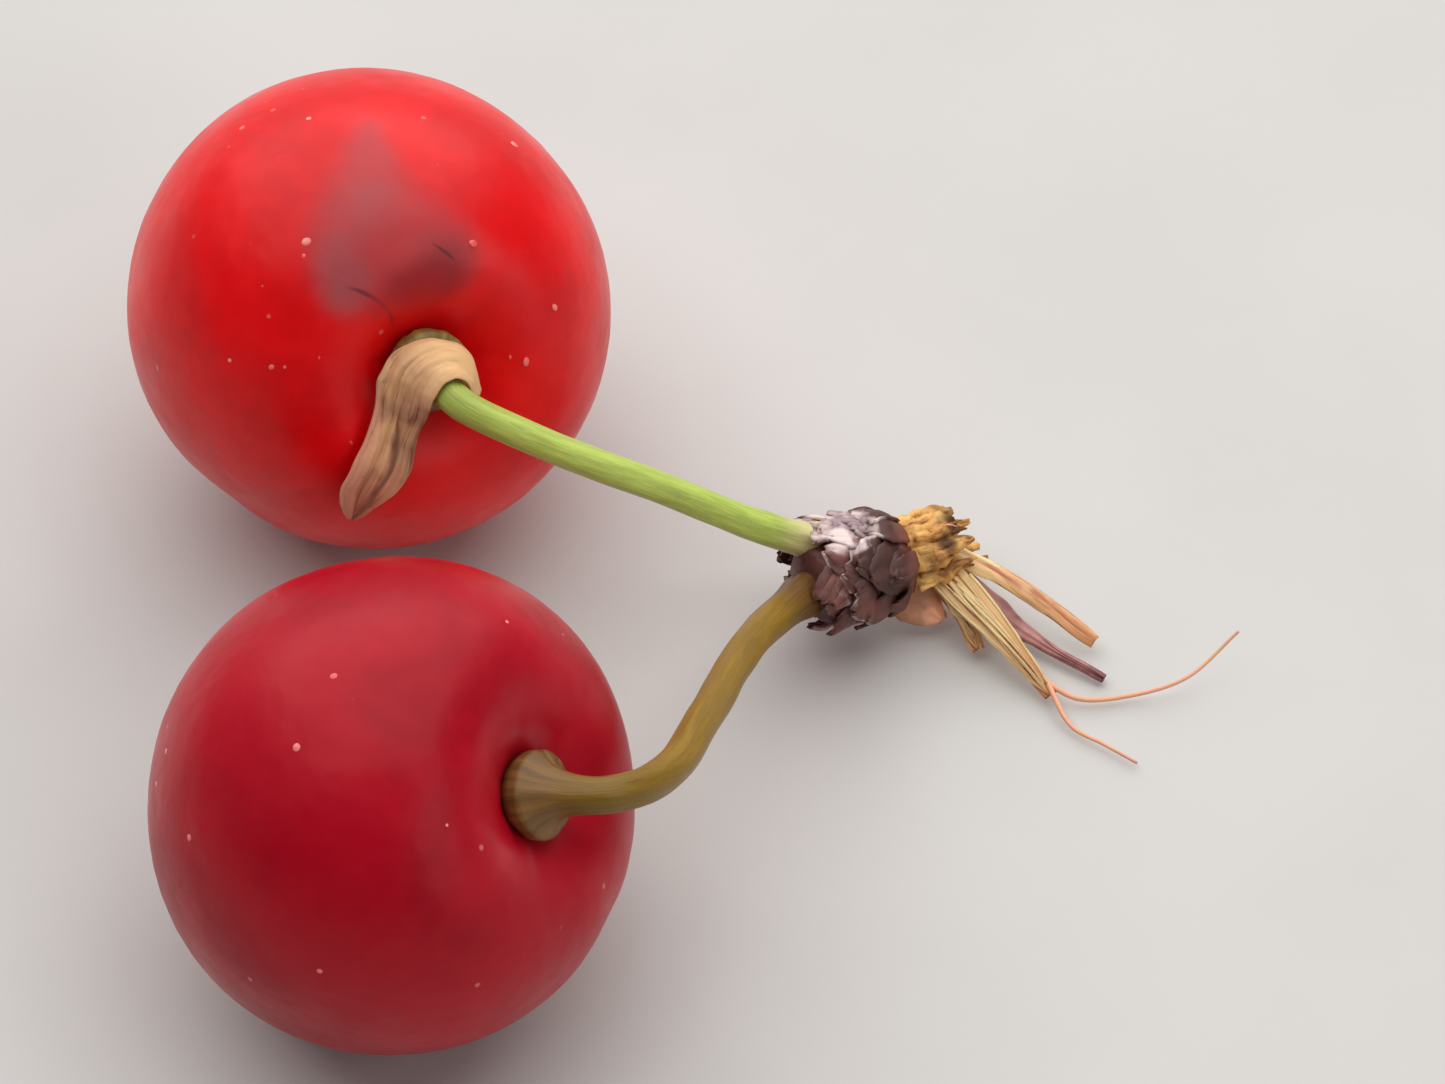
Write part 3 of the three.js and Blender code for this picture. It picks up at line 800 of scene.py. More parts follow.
def stalk_finish(name, settings, colour, tip_colour):
    made = Finish(f"{name}_stalk_skin")
    along, around = made.own("along"), made.own("around")
    ring_x, ring_y = made.sum("COSINE", around), made.sum("SINE", around)
    length = made.sum("MULTIPLY", along, 3.0)
    wound = made.add("CombineXYZ", {0: ring_x, 1: ring_y, 2: length}).outputs[0]
    streak = made.range(made.grain(4.0, 4.0, wound), 0.36, 0.66)
    pale = tuple(min(part * 1.35 + 0.04, 1.0) for part in colour)
    dark = scaled(colour, 0.80)
    skin = made.colour(streak, dark, colour)
    skin = made.wash(made.range(made.grain(11.0, 3.0, wound), 0.5, 0.75), 0.3, skin, pale)
    blotch = made.range(made.grain(520.0, 4.0), 0.60, 0.74)
    skin = made.wash(blotch, 0.2, skin, settings.olive_tip)
    # Painted shade: the stalk is darkened towards its foot, near the fruit and under the bract.
    shaded = made.sum("MULTIPLY", made.range(along, 0.34, 0.16), 0.45)
    skin = made.colour(shaded, skin, scaled(colour, 0.45))
    browned = made.range(along, settings.tip_from, settings.tip_from + 0.09)
    skin = made.wash(browned, 0.8, skin, tip_colour)
    flared = made.range(made.sum("ADD", along, made.sum("MULTIPLY", streak, 0.02)), 0.15, 0.08)
    foot = made.colour(streak, scaled(settings.flare, 0.55), settings.flare)
    skin = made.wash(flared, 0.9, skin, foot)
    ribs = made.bump(made.grain(9.0, 3.0, wound), 0.00010, 0.3)
    fine = made.bump(made.grain(2600.0, 3.0), 0.00003, 0.4, ribs)
    made.surface(
        Base_Color=skin,
        Roughness=made.range(streak, 0.0, 1.0, 0.36, 0.52),
        Specular_IOR_Level=0.32,
        Subsurface_Weight=0.12,
        Subsurface_Radius=(0.7, 0.7, 0.2),
        Subsurface_Scale=0.0006,
        Coat_Weight=0.08,
        Coat_Roughness=0.3,
        Normal=fine,
    )
    return made.material


# ---- spur ---------------------------------------------------------------------------------------------


def spur_point(along):
    return SPUR_START + SPUR_AXIS * along


def spur_side(around):
    """The way out of the spur's axis, at an angle round it from the top."""
    up = Vector((0, 0, 1))
    up = (up - SPUR_AXIS * up.dot(SPUR_AXIS)).normalized()
    return Matrix.Rotation(around, 3, SPUR_AXIS) @ up


def core_radius(along):
    for (r0, a0), (r1, a1) in zip(SPUR_CORE, SPUR_CORE[1:]):
        if a0 <= along <= a1:
            return lerp(r0, r1, (along - a0) / (a1 - a0))
    return SPUR_CORE[-1][0] if along > SPUR_CORE[-1][1] else SPUR_CORE[0][0]


def knob_piece(material):
    shape = bmesh.new()
    first, last = SPUR_CORE[0][1], SPUR_CORE[-1][1]
    places = [spur_point(lerp(first, last, i / KNOB_ROWS)) for i in range(KNOB_ROWS + 1)]

    def relief(share, around):
        ring = Vector((math.cos(around) * 1.4, math.sin(around) * 1.4, share * 5))
        ledge = 0.16 * abs(math.sin(share * 17 + 2 * noise.noise(ring)))
        return 0.22 * noise.noise(ring * 1.6) + 0.08 * noise.noise(ring * 5) - ledge

    tube(shape, places, lambda share: core_radius(lerp(first, last, share)), KNOB_SIDES, relief)
    finish_piece("knob", shape, material, ["spur"])


def scale_blade(shape, root, belly, tip, side, half, thickness, seed, wrap=SCALE_WRAP):
    def half_width(share, across):
        ragged = 1 + 0.16 * noise.noise(Vector((share * 7, math.copysign(3, across), seed)))
        return half * max(math.sin(math.pi * (0.14 + 0.855 * share)), 0.0) ** 0.55 * ragged

    def relief(share, across):
        rib = 0.028 * math.sin(across * 8 + noise.noise(Vector((share * 2, seed, 0))) * 2)
        edge = 0.10 * abs(across) ** 3 * noise.noise(Vector((share * 3, across, seed)))
        keel = 0.09 * (1 - abs(across)) * share
        return rib * share + edge + keel + 0.05 * noise.noise(Vector((across * 2, share * 3, seed + 5)))

    blade(shape, [root, belly, tip], side, half_width, wrap, 16, 22, thickness, relief)


def scale_piece(settings, material):
    shape = bmesh.new()
    wall = settings.scale_thickness * MM_PER_M
    draws = seeded_draws(SCALE_SEED)
    for index in range(SCALE_COUNT):
        side = spur_side(index * SCALE_TURN + (next(draws) - 0.5) * SCALE_TURN_SPREAD)
        length = between(SCALE_LENGTH, next(draws))
        half = between(SCALE_HALF_WIDTH, next(draws))
        begin = SCALE_FIRST - SCALE_PITCH * index
        root = spur_point(begin) + side * SCALE_ROOT
        belly = spur_point(begin - length / 2) + side * SCALE_BELLY
        tip = spur_point(begin - length) + side * between(SCALE_TIP, next(draws))
        scale_blade(shape, root, belly, tip, side, half, wall, index * 3.7)
    rng = random.Random(SMALL_SCALE_SEED)
    for index in range(settings.small_scales):
        side = spur_side(index * SCALE_TURN + rng.random() * SMALL_SCALE_TURN)
        begin = between(SMALL_SCALE_FROM, (index + rng.random()) / settings.small_scales)
        length = between(SMALL_SCALE_LENGTH, rng.random())
        slant = side.cross(SPUR_AXIS) * between(SMALL_SCALE_SLANT, rng.random())
        root = spur_point(begin) + side * SMALL_SCALE_ROOT - slant * 0.5
        belly = spur_point(begin - length / 2) + side * between(SMALL_SCALE_BELLY, rng.random())
        tip = spur_point(begin - length) + side * between(SMALL_SCALE_TIP, rng.random()) + slant
        half = between(SMALL_SCALE_HALF_WIDTH, rng.random())
        scale_blade(shape, root, belly, tip, side, half, wall, 90 + index)
    lift_off_floor(shape, SCALE_CLEARANCE)
    finish_piece("bud_scales", shape, material, ["spur"])


def tan_scale_piece(material):
    shape = bmesh.new()
    root, belly, tip = (Vector(point) for point in TAN_SCALE)
    half, wall, wrap = TAN_SCALE_HALF_WIDTH, TAN_SCALE_WALL, TAN_SCALE_WRAP
    scale_blade(shape, root, belly, tip, TAN_SCALE_FACING, half, wall, 61.0, wrap)
    lift_off_floor(shape, SCALE_CLEARANCE)
    finish_piece("tan_scale", shape, material)


def bark_finish(name, dark, mid, silver, silvered):
    """Bark that peels to silver, palest at the worn places, where the one on the knob's top is also a
    painted highlight. A low silvered value peels more of it.
    """
    made = Finish(name)
    along, across = made.own("along"), made.sum("ABSOLUTE", made.own("around"))
    shade = made.range(made.grain(520.0, 5.0), 0.34, 0.66)
    skin = made.colour(shade, dark, mid)
    tips = made.sum("MULTIPLY", made.range(along, 0.25, 1.0), 0.16)
    edges = made.sum("MULTIPLY", made.range(across, 0.7, 1.0), 0.10)
    worn = 0.0
    # Pale patches of silver: worn bark, and on the knob's top also a painted highlight.
    for place, wide in WORN_AND_LIT_PLACES:
        patch = made.patch(TO_FRAME @ Vector(place), (wide / MM_PER_M,) * 3, 0.0006)
        worn = made.sum("MAXIMUM", made.range(patch, 0.0, 0.7, 0.0, 0.22), worn)
    flaky = made.grain(480.0, 5.0, distortion=0.6)
    for more in (made.sum("ADD", tips, edges), worn):
        flaky = made.sum("ADD", flaky, more)
    peeled = made.range(flaky, silvered, silvered + 0.20)
    dusky = tuple(part * share for part, share in zip(silver, DUSK))
    silvery = made.colour(made.range(made.grain(760.0, 4.0, distortion=0.8), 0.36, 0.58), dusky, silver)
    skin = made.wash(peeled, 0.9, skin, silvery)
    streaks = made.grain(1.0, 4.0, made.stretched((700.0, 2300.0, 1600.0)))
    skin = made.colour(made.range(streaks, 0.58, 0.78, 0.0, 0.4), skin, scaled(dark, 0.5))
    rough = made.bump(made.grain(2200.0, 4.0), 0.00005, 0.5)
    made.surface(
        Base_Color=skin,
        Roughness=made.range(peeled, 0.0, 1.0, 0.50, 0.30),
        Specular_IOR_Level=0.5,
        Normal=made.bump(streaks, 0.00005, 0.5, rough),
    )
    return made.material


# ---- torn wood ----------------------------------------------------------------------------------------


def splinter(shape, start, end, radius, sides, seed):
    reach = (end - start).length
    places = [start.lerp(end, i / SPLINTER_ROWS) for i in range(SPLINTER_ROWS + 1)]
    bend = Vector((noise.noise(Vector((seed, 0, 0))), noise.noise(Vector((0, seed, 0))), 0.0))
    bend = bend * 0.25 * reach
    places = [place + bend * (i / SPLINTER_ROWS) ** 2 * 0.4 for i, place in enumerate(places)]

    def wide(share):
        torn = 1 - 0.25 * share - 0.6 * smooth(share, 0.72, 1.0)
        return radius * torn * (1 + 0.22 * noise.noise(Vector((share * 6, seed, 4))))

    def relief(share, around):
        ring = Vector((math.cos(around) * 1.8, math.sin(around) * 1.8, seed + share * 3))
        return 0.55 * radius * noise.noise(ring) + 0.2 * radius * noise.noise(ring * 3)

    tube(shape, places, wide, sides, relief)


def wood_piece(settings, material):
    shape = bmesh.new()
    places = [spur_point(lerp(WOOD_ROOT, WOOD_END, i / WOOD_ROWS)) for i in range(WOOD_ROWS + 1)]

    def lumpy(share, around):
        ring = Vector((math.cos(around) * 2, math.sin(around) * 2, share * 3))
        return 0.26 * noise.noise(ring * 1.8) + 0.12 * noise.noise(ring * 6)

    tube(shape, places, lambda share: WOOD_RADIUS - WOOD_NARROWING * share, WOOD_SIDES, lumpy)
    draws = seeded_draws(SPLINTER_SEED)
    for index in range(SPLINTER_COUNT):
        side = spur_side(index / SPLINTER_COUNT * math.tau + next(draws) * 0.4)
        radius = between(SPLINTER_RADIUS, next(draws))
        end = between(SPLINTER_END, next(draws))
        lean = SPLINTER_LEAN * (next(draws) - 0.3)
        start = spur_point(WOOD_FROM) + side * SPLINTER_RING[0]
        tip = spur_point(end) + side * (SPLINTER_RING[1] + lean)
        splinter(shape, start, tip, radius, 20, index * 2.3)
    rng = random.Random(FINE_SPLINTER_SEED)
    for index in range(settings.fine_splinters):
        side = spur_side(rng.random() * math.tau)
        ring = between(FINE_SPLINTER_RING, rng.random() ** 0.7)
        start = spur_point(between(FINE_SPLINTER_FROM, rng.random())) + side * ring
        out = side * lerp(-0.35, 0.25, rng.random())
        aside = side.cross(SPUR_AXIS) * lerp(-0.35, 0.35, rng.random())
        tip = spur_point(between(FINE_SPLINTER_END, rng.random() ** 1.5)) + side * ring + (out + aside)
        splinter(shape, start, tip, between(FINE_SPLINTER_RADIUS, rng.random()), 9, 50 + index * 1.9)
    lift_off_floor(shape, SCALE_CLEARANCE)
    finish_piece("torn_end", shape, material, ["torn_wood"])


def strip_piece(name, settings, material):
    half, taper, route = STRIPS[name]
    seed = sum(map(ord, name)) * 0.37
    bark = name == "bark_strip"
    shape = bmesh.new()

    def narrowing(share, side):
        """The strip's taper and its rounded end, which is cut later on one side than on the other."""
        late = (share - 0.86 - 0.05 * noise.noise(Vector((seed, side, 1)))) / 0.16
        tapered = smooth(share, 0.25, 0.85) if bark else share**2
        return lerp(1, taper, tapered) * math.cos(math.pi / 2 * min(max(late, 0.0), 0.95))

    def half_width(share, across):
        ragged = 1 + 0.16 * noise.noise(Vector((share * 9, math.copysign(2, across), seed)))
        return half * narrowing(share, math.copysign(5, across)) * ragged

    def relief(share, across):
        groove = 0.05 * math.sin(across * 8 + 2 * noise.noise(Vector((share * 3, seed, 0))))
        wave = 0.10 * noise.noise(Vector((share * 5, across, seed)))
        return groove + wave

    wall = BARK_WALL if bark else STRAW_WALL
    blade(shape, route, STRIP_FACING, half_width, STRIP_WRAP, 18, 70, wall, relief)
    if not bark:
        frames = frames_along(route_through(route, THREAD_ROWS + 1)[0], STRIP_FACING)
        rng = random.Random(int(seed * 10))
        for index in range(settings.strip_threads):
            off = (rng.random() * 2 - 1) * half * 0.92
            begin, stop = int(rng.random() * 30), THREAD_ROWS + 1 - int(rng.random() * 26)
            lift = lerp(0.03, 0.16, rng.random())
            side = math.copysign(5, off)
            thread = []
            for i in range(begin, stop, 2):
                reach = narrowing(i / THREAD_ROWS, side)
                sway = 0.1 * math.sin(i / 13 + seed + index) * min(reach, 1.0)
                thread.append(frames[i] @ Vector((off * reach + sway, lift * min(reach * 2, 1.0), 0)))
            wide = between(THREAD_RADIUS, rng.random())
            tube(shape, thread, lambda share: wide * (1 - 0.55 * share), 7)
    lift_off_floor(shape, FIBRE_CLEARANCE)
    finish_piece(name, shape, material)


def hair_pieces(settings, material):
    shape = bmesh.new()
    thick = settings.hair_width * MM_PER_M / 2
    for points in FIBRES:
        places, _ = route_through(points, 90)
        tube(shape, places, lambda share: thick * (1 - 0.5 * share), 10)
    rng = random.Random(LOOSE_HAIR_SEED)
    for _ in range(settings.loose_hairs):
        side = spur_side(rng.random() * math.tau)
        start = spur_point(between(LOOSE_HAIR_FROM, rng.random())) + side * LOOSE_HAIR_RING
        way = (SPUR_AXIS + side * lerp(0.1, 0.9, rng.random()) + Vector((0, -0.3, 0))).normalized()
        reach = between(LOOSE_HAIR_LENGTH, rng.random())
        middle = start + way * reach * 0.5 + side * 0.15
        places, _ = route_through([start, middle, start + way * reach + Vector((0, 0, -0.3))], 16)
        tube(shape, places, lambda share: thick * 0.5 * (1 - 0.6 * share), 6)
    lift_off_floor(shape, FIBRE_CLEARANCE)
    finish_piece("hair_fibres", shape, material)


def wood_finish(settings):
    made = Finish("torn_wood_grain")
    fibres = made.grain(1.0, 5.0, made.stretched((900.0, 2400.0, 2400.0)), 0.6)
    tone = made.range(fibres, 0.32, 0.58)
    skin = made.colour(tone, settings.dark, settings.mid)
    skin = made.colour(made.range(made.grain(900.0, 4.0), 0.42, 0.64), skin, settings.light)
    stain = made.range(made.grain(560.0, 4.0), 0.53, 0.68)
    skin = made.wash(stain, 0.65, skin, settings.dark)
    # Painted shade where the torn end has dark hollows.
    for place, wide in SHADED_WOOD_HOLLOWS:
        radius = wide / MM_PER_M
        painted_hollow_shade = made.patch(TO_FRAME @ Vector(place), (radius,) * 3, radius * 0.5)
        skin = made.colour(made.range(painted_hollow_shade, 0.05, 0.7), skin, scaled(settings.dark, 0.55))
    made.surface(
        Base_Color=skin,
        Roughness=made.range(tone, 0.0, 1.0, 0.66, 0.46),
        Specular_IOR_Level=0.4,
        Subsurface_Weight=0.06,
        Subsurface_Radius=(0.6, 0.3, 0.1),
        Subsurface_Scale=0.0003,
        Normal=made.bump(fibres, 0.00008, 0.7),
    )
    return made.material


def straw_finish(settings):
    """Cream at the edges, straw down the middle, with lines that run along the strip."""
    made = Finish("straw_grain")
    along, around = made.own("along"), made.own("around")
    ran = made.add("CombineXYZ", {0: around, 1: made.sum("MULTIPLY", along, 0.5), 2: 0.0}).outputs[0]
    lines = made.grain(8.0, 4.0, ran)
    tone = made.range(lines, 0.36, 0.60)
    middle = made.colour(tone, settings.straw_dark, settings.straw)
    edge = made.range(made.sum("ABSOLUTE", around), 0.42, 0.85)
    skin = made.colour(edge, middle, settings.cream)
    worn = made.range(made.grain(700.0, 3.0), 0.5, 0.75)
    skin = made.wash(worn, 0.45, skin, settings.cream)
    skin = made.colour(made.range(along, 0.3, 0.0, 0.0, 0.7), skin, settings.cream)
    skin = made.colour(made.range(along, 0.45, 1.0, 0.0, 0.4), skin, settings.straw_tip)
    made.surface(
        Base_Color=skin,
        Roughness=made.range(tone, 0.0, 1.0, 0.60, 0.44),
        Specular_IOR_Level=0.4,
        Subsurface_Weight=0.06,
        Subsurface_Radius=(0.6, 0.3, 0.1),
        Subsurface_Scale=0.0003,
        Normal=made.bump(lines, 0.00007, 0.7),
    )
    return made.material


def hair_finish(settings):
    made = Finish("hair_skin")
    along = made.own("along")
    tone = made.range(made.grain(900.0, 3.0), 0.35, 0.65)
    skin = made.colour(tone, settings.straw, settings.hair)
    skin = made.wash(made.range(along, 0.7, 1.0), 0.5, skin, settings.straw_dark)
    made.surface(
        Base_Color=skin,
        Roughness=0.45,
        Normal=made.bump(made.grain(3000.0, 2.0), 0.00002, 0.4),
    )
    return made.material


# ---- dried bract --------------------------------------------------------------------------------------


def ribbon(shape, outer, inner, columns, thickness, relief):
    """Lays a grid between two edges, raises its middle, and gives it a wall."""
    along, around = way_layers(shape)
    rows = len(outer) - 1
    grid = bmesh.ops.create_grid(shape, x_segments=columns, y_segments=rows, size=1.0)["verts"]
    for vert in grid:
        share, across = (vert.co.y + 1) / 2, vert.co.x
        row = round(share * rows)
        before, after = max(row - 1, 0), min(row + 1, rows)
        ahead = outer[after] + inner[after] - outer[before] - inner[before]
        over = inner[row] - outer[row]
        out = ahead.cross(over).normalized()
        crown = BRACT_CROWN * over.length * (1 - across**2)
        ragged = 1 + 0.06 * noise.noise(Vector((share * 14, math.copysign(2, across), 9)))
        spot = outer[row] + over * (0.5 + 0.5 * across * ragged)
        vert.co = spot + out * (crown + relief(share, across))
        vert[along], vert[around] = share, across
    give_wall(shape, list(shape.faces), thickness)


def bract_relief(share, across):
    """Lengthwise folds, one deep crease, a rolled outer edge and some crumpling."""
    wander = 0.35 * noise.noise(Vector((share * 3, 4, 0)))
    fold = 0.055 * math.sin((across + wander) * 9) * smooth(share, 0.0, 0.12)
    crease = -0.13 * bell(across + 0.30 + wander * 0.5, 0.10) * smooth(share, 0.25, 0.45)
    inner_crease = -0.10 * bell(across - 0.38 + wander * 0.4, 0.08) * smooth(share, 0.4, 0.6)
    rolled = 0.16 * smooth(-across, 0.72, 1.0) * smooth(share, 0.3, 0.5)
    crumple = 0.08 * noise.noise(Vector((across * 2.5, share * 9, 2)))
    crumple += 0.035 * noise.noise(Vector((across * 6, share * 26, 5)))
    return fold + crease + inner_crease + rolled + crumple


def bract_piece(settings, material):
    shape = bmesh.new()
    outer = smooth_line(BRACT_OUTER_EDGE, BRACT_STEPS)
    inner = smooth_line(BRACT_INNER_EDGE, BRACT_STEPS)
    ribbon(shape, outer, inner, BRACT_COLUMNS, settings.thickness * MM_PER_M, bract_relief)
    finish_piece("bract", shape, material, ["dried_bract"])


def bract_finish(settings):
    made = Finish("dry_bract_skin")
    along, around = made.own("along"), made.own("around")
    ran = made.add("CombineXYZ", {0: around, 1: made.sum("MULTIPLY", along, 0.35), 2: 0.0}).outputs[0]
    veins = made.grain(7.5, 4.0, ran, 0.2)
    # Painted shade: where the veins sink the bump, the bottoms of the folds take a darker colour.
    tone = made.range(veins, 0.34, 0.56)
    body = made.colour(tone, settings.fold_shade_and_speck_colour, settings.colour)
    # Painted light: a paler colour on random patches and on the hood that arches over the stalk.
    painted_light = made.range(made.grain(420.0, 3.0), 0.42, 0.64)
    painted_light_over_stalk = made.range(along, 0.45, 0.2)
    painted_light = made.sum("MAXIMUM", made.sum("MULTIPLY", painted_light, 0.55), made.sum("MULTIPLY", painted_light_over_stalk, 0.8))
    body = made.colour(painted_light, body, settings.painted_light_colour)
    tip = made.range(along, 0.6, 1.0)
    body = made.wash(tip, 0.85, body, settings.tip_colour)
    # Painted highlight along the rolled outer edge of the hanging part.
    hung = made.range(along, 0.45, 0.6)
    painted_lit_rim = made.sum("MULTIPLY", made.range(around, -0.35, -0.8), hung)
    body = made.wash(painted_lit_rim, 0.75, body, settings.painted_lit_edge_colour)
    # Painted shade down the long crease, along the hollow that the relief folds in.
    drift = made.sum("ADD", around, made.sum("MULTIPLY", made.grain(300.0, 3.0), 0.5))
    from_crease = made.sum("ABSOLUTE", made.sum("SUBTRACT", drift, 0.42))
    crease = made.sum("MULTIPLY", made.range(from_crease, 0.0, 0.2, 1.0, 0.0), hung)
    body = made.wash(crease, 0.85, body, settings.crease_shade_colour)
    specks = made.range(made.grain(1900.0, 3.0), 0.64, 0.74)
    body = made.wash(specks, 0.3, body, settings.fold_shade_and_speck_colour)
    creased = made.bump(veins, 0.00010, 0.6)
    made.surface(
        Base_Color=body,
        Roughness=made.range(tone, 0.0, 1.0, 0.70, 0.56),
        Specular_IOR_Level=0.35,
        Subsurface_Weight=0.08,
        Subsurface_Radius=(0.5, 0.3, 0.15),
        Subsurface_Scale=0.0003,
        Sheen_Weight=0.08,
        Normal=made.bump(made.grain(2600.0, 3.0), 0.00003, 0.4, creased),
    )
    return made.material


# ---- stage --------------------------------------------------------------------------------------------

# All in the frame's metres.
LOOK_AT = Vector((0.0017, 0.0061, 0.0037))
FLOOR_HALF_WIDTH = 2.0
OVERHEAD_PLACE, OVERHEAD_WIDTH = (-0.02, 0.20, 0.41), 0.95
SIDE_PLACE, SIDE_WIDTH = (0.38, -0.30, 0.26), 0.36
LIT_PLACE = (0.0, 0.0, 0.01)
ROOM_COLOUR = (0.86, 0.90, 0.95)
ROOM_STRENGTH = 0.12


def floor_piece(settings):
    shape = bmesh.new()
    bmesh.ops.create_grid(shape, x_segments=1, y_segments=1, size=FLOOR_HALF_WIDTH)
    mesh = bpy.data.meshes.new("floor")
    shape.to_mesh(mesh)
    shape.free()
    made = Finish("floor_paint")
    tone = made.range(made.grain(60.0, 4.0), 0.3, 0.7)
    shaded = scaled(settings.floor, 0.96)
    made.surface(Base_Color=made.colour(tone, shaded, settings.floor), Roughness=0.7)
    mesh.materials.append(made.material)
    floor = bpy.data.objects.new("floor", mesh)
    bpy.context.scene.collection.objects.link(floor)


def turned_towards(place, target):
    """The turn that points a camera or a light from its place at the target."""
    return (Vector(target) - Vector(place)).to_track_quat("-Z", "Y").to_euler()


def camera_at(settings):
    up = settings.elevation
    data = bpy.data.cameras.new("camera")
    data.lens = data.sensor_width * settings.distance / settings.span
    data.clip_start, data.clip_end = 0.01, 20.0
    camera = bpy.data.objects.new("camera", data)
    camera.location = LOOK_AT + Vector((0.0, -math.cos(up), math.sin(up))) * settings.distance
    camera.rotation_euler = turned_towards(camera.location, LOOK_AT)
    bpy.context.scene.collection.objects.link(camera)
    bpy.context.scene.camera = camera


def soft_light(name, place, width, power):
    light = bpy.data.lights.new(name, "AREA")
    light.shape, light.size, light.energy = "SQUARE", width, power
    lamp = bpy.data.objects.new(name, light)
    lamp.location = place
    lamp.rotation_euler = turned_towards(place, LIT_PLACE)
    bpy.context.scene.collection.objects.link(lamp)


def pale_room():
    world = bpy.data.worlds.new("room")
    world.use_nodes = True
    background = world.node_tree.nodes["Background"]
    background.inputs["Color"].default_value = (*ROOM_COLOUR, 1.0)
    background.inputs["Strength"].default_value = ROOM_STRENGTH
    bpy.context.scene.world = world


# ---- settings -----------------------------------------------------------------------------------------


def tint(name, text, default):
    return bpy.props.FloatVectorProperty(
        name=name, description=text, default=default, size=3, min=0.0, max=1.0, subtype="COLOR"
    )


def share_of(name, text, default):
    return bpy.props.FloatProperty(
        name=name, description=text, default=default, min=0.0, max=1.0, subtype="FACTOR"
    )


def count_of(name, text, default, least, most):
    return bpy.props.IntProperty(name=name, description=text, default=default, min=least, max=most)


def length_of(name, text, default, least, most):
    return bpy.props.FloatProperty(
        name=name, description=text, default=default, min=least, max=most, precision=5, unit="LENGTH"
    )


def power_of(name, text, default):
    return bpy.props.FloatProperty(
        name=name, description=text, default=default, min=0.0, max=50.0, unit="POWER"
    )


class FruitSettings(bpy.types.PropertyGroup):
    bright_colour: tint("Bright skin", "Skin of the scarlet fruit", (0.84, 0.0, 0.003))
    deep_colour: tint("Deep skin", "Skin of the darker fruit", (0.45, 0.0, 0.012))
    veil_colour: tint("Bruise", "Soft veil over the bruise", (0.37, 0.062, 0.070))
    grey_colour: tint("Grey leg", "Greyest part of the bruise", (0.33, 0.115, 0.125))
    dark_colour: tint("Dark place", "Darkest part of the bruise", (0.21, 0.002, 0.010))
    scratch_colour: tint("Scratch", "Thin scratches in the bruise", (0.07, 0.006, 0.014))
    speck_colour: tint("Speck", "Small pale specks in the skin", (0.85, 0.26, 0.22))
    dew_colour: tint("Dew", "Colour that shows through the dew", (0.80, 0.10, 0.09))
    # Painted glint: the palest colour of the beads.
    dew_glint: tint("Light dew", "Palest colour in the dew", (0.95, 0.28, 0.24))
    bruise: share_of("Bruise strength", "How dark the bruise is", 0.9)
    gloss: share_of("Gloss", "How wet the skin looks", 0.22)
    pebbling: share_of("Pebbling", "How uneven the fine skin is", 0.6)
    skin_detail: count_of("Skin detail", "Subdivisions of each fruit", 7, 4, 7)
    drop_size: length_of("Largest drop", "Half width of the largest drop of dew", 0.00024, 0.0001, 0.001)


class StalkSettings(bpy.types.PropertyGroup):
    green: tint("Green stalk", "Stalk of the bright fruit", (0.50, 0.62, 0.115))
    olive: tint("Olive stalk", "Stalk of the darker fruit", (0.28, 0.15, 0.006))
    green_tip: tint("Green stalk's end", "Where it meets the spur", (0.70, 0.58, 0.30))
    olive_tip: tint("Olive stalk's end", "Where it meets the spur", (0.13, 0.055, 0.018))
    flare: tint("Flare", "Foot of a stalk in its fruit", (0.25, 0.125, 0.035))
    tip_from: share_of("End from", "Share of the way along where the end's colour starts", 0.83)
    rows: count_of("Rows", "Rings along each stalk", 260, 60, 500)


class SpurSettings(bpy.types.PropertyGroup):
    dark: tint("Dark bark", "Purple-brown bark", (0.055, 0.015, 0.012))
    mid: tint("Bark", "Middle tone of the bark", (0.18, 0.052, 0.036))
    silver: tint("Silver skin", "Papery silver skin of the scales", (0.90, 0.73, 0.68))
    tan: tint("Tan scale", "The broad tan scale", (0.95, 0.44, 0.25))
    small_scales: count_of("Small scales", "Number of small scales", 64, 0, 200)
    scale_thickness: length_of("Scale thickness", "Wall of a bud scale", 0.0002, 0.0001, 0.0006)


class WoodSettings(bpy.types.PropertyGroup):
    mid: tint("Torn wood", "Middle tone of the torn wood", (0.66, 0.31, 0.075))
    light: tint("Light wood", "Fresh fibres", (0.90, 0.52, 0.15))
    dark: tint("Dark wood", "Hollows and stains", (0.21, 0.075, 0.016))
    straw: tint("Straw", "Middle tone of the straw strips", (0.82, 0.42, 0.20))
    straw_dark: tint("Dark straw", "Lines in the straw strips", (0.50, 0.19, 0.085))
    cream: tint("Cream", "Edges of the straw strips", (1.0, 0.74, 0.36))
    straw_tip: tint("Straw tip", "Far ends of the straw strips", (0.76, 0.31, 0.13))
    hair: tint("Hair", "The hair-fine fibres", (0.88, 0.38, 0.28))
    bark: tint("Bark strip", "Middle tone of the bark strip", (0.58, 0.29, 0.26))
    bark_dark: tint("Dark bark strip", "Darkest parts of the bark strip", (0.28, 0.10, 0.10))
    fine_splinters: count_of("Fine splinters", "Number of thin splinters", 70, 0, 300)
    strip_threads: count_of("Strip threads", "Loose threads on each strip", 14, 0, 40)
    loose_hairs: count_of("Loose hairs", "Short hairs at the torn end", 5, 0, 60)
    hair_width: length_of("Hair width", "Thickness of the hair-fine fibres", 0.00026, 0.00005, 0.0006)


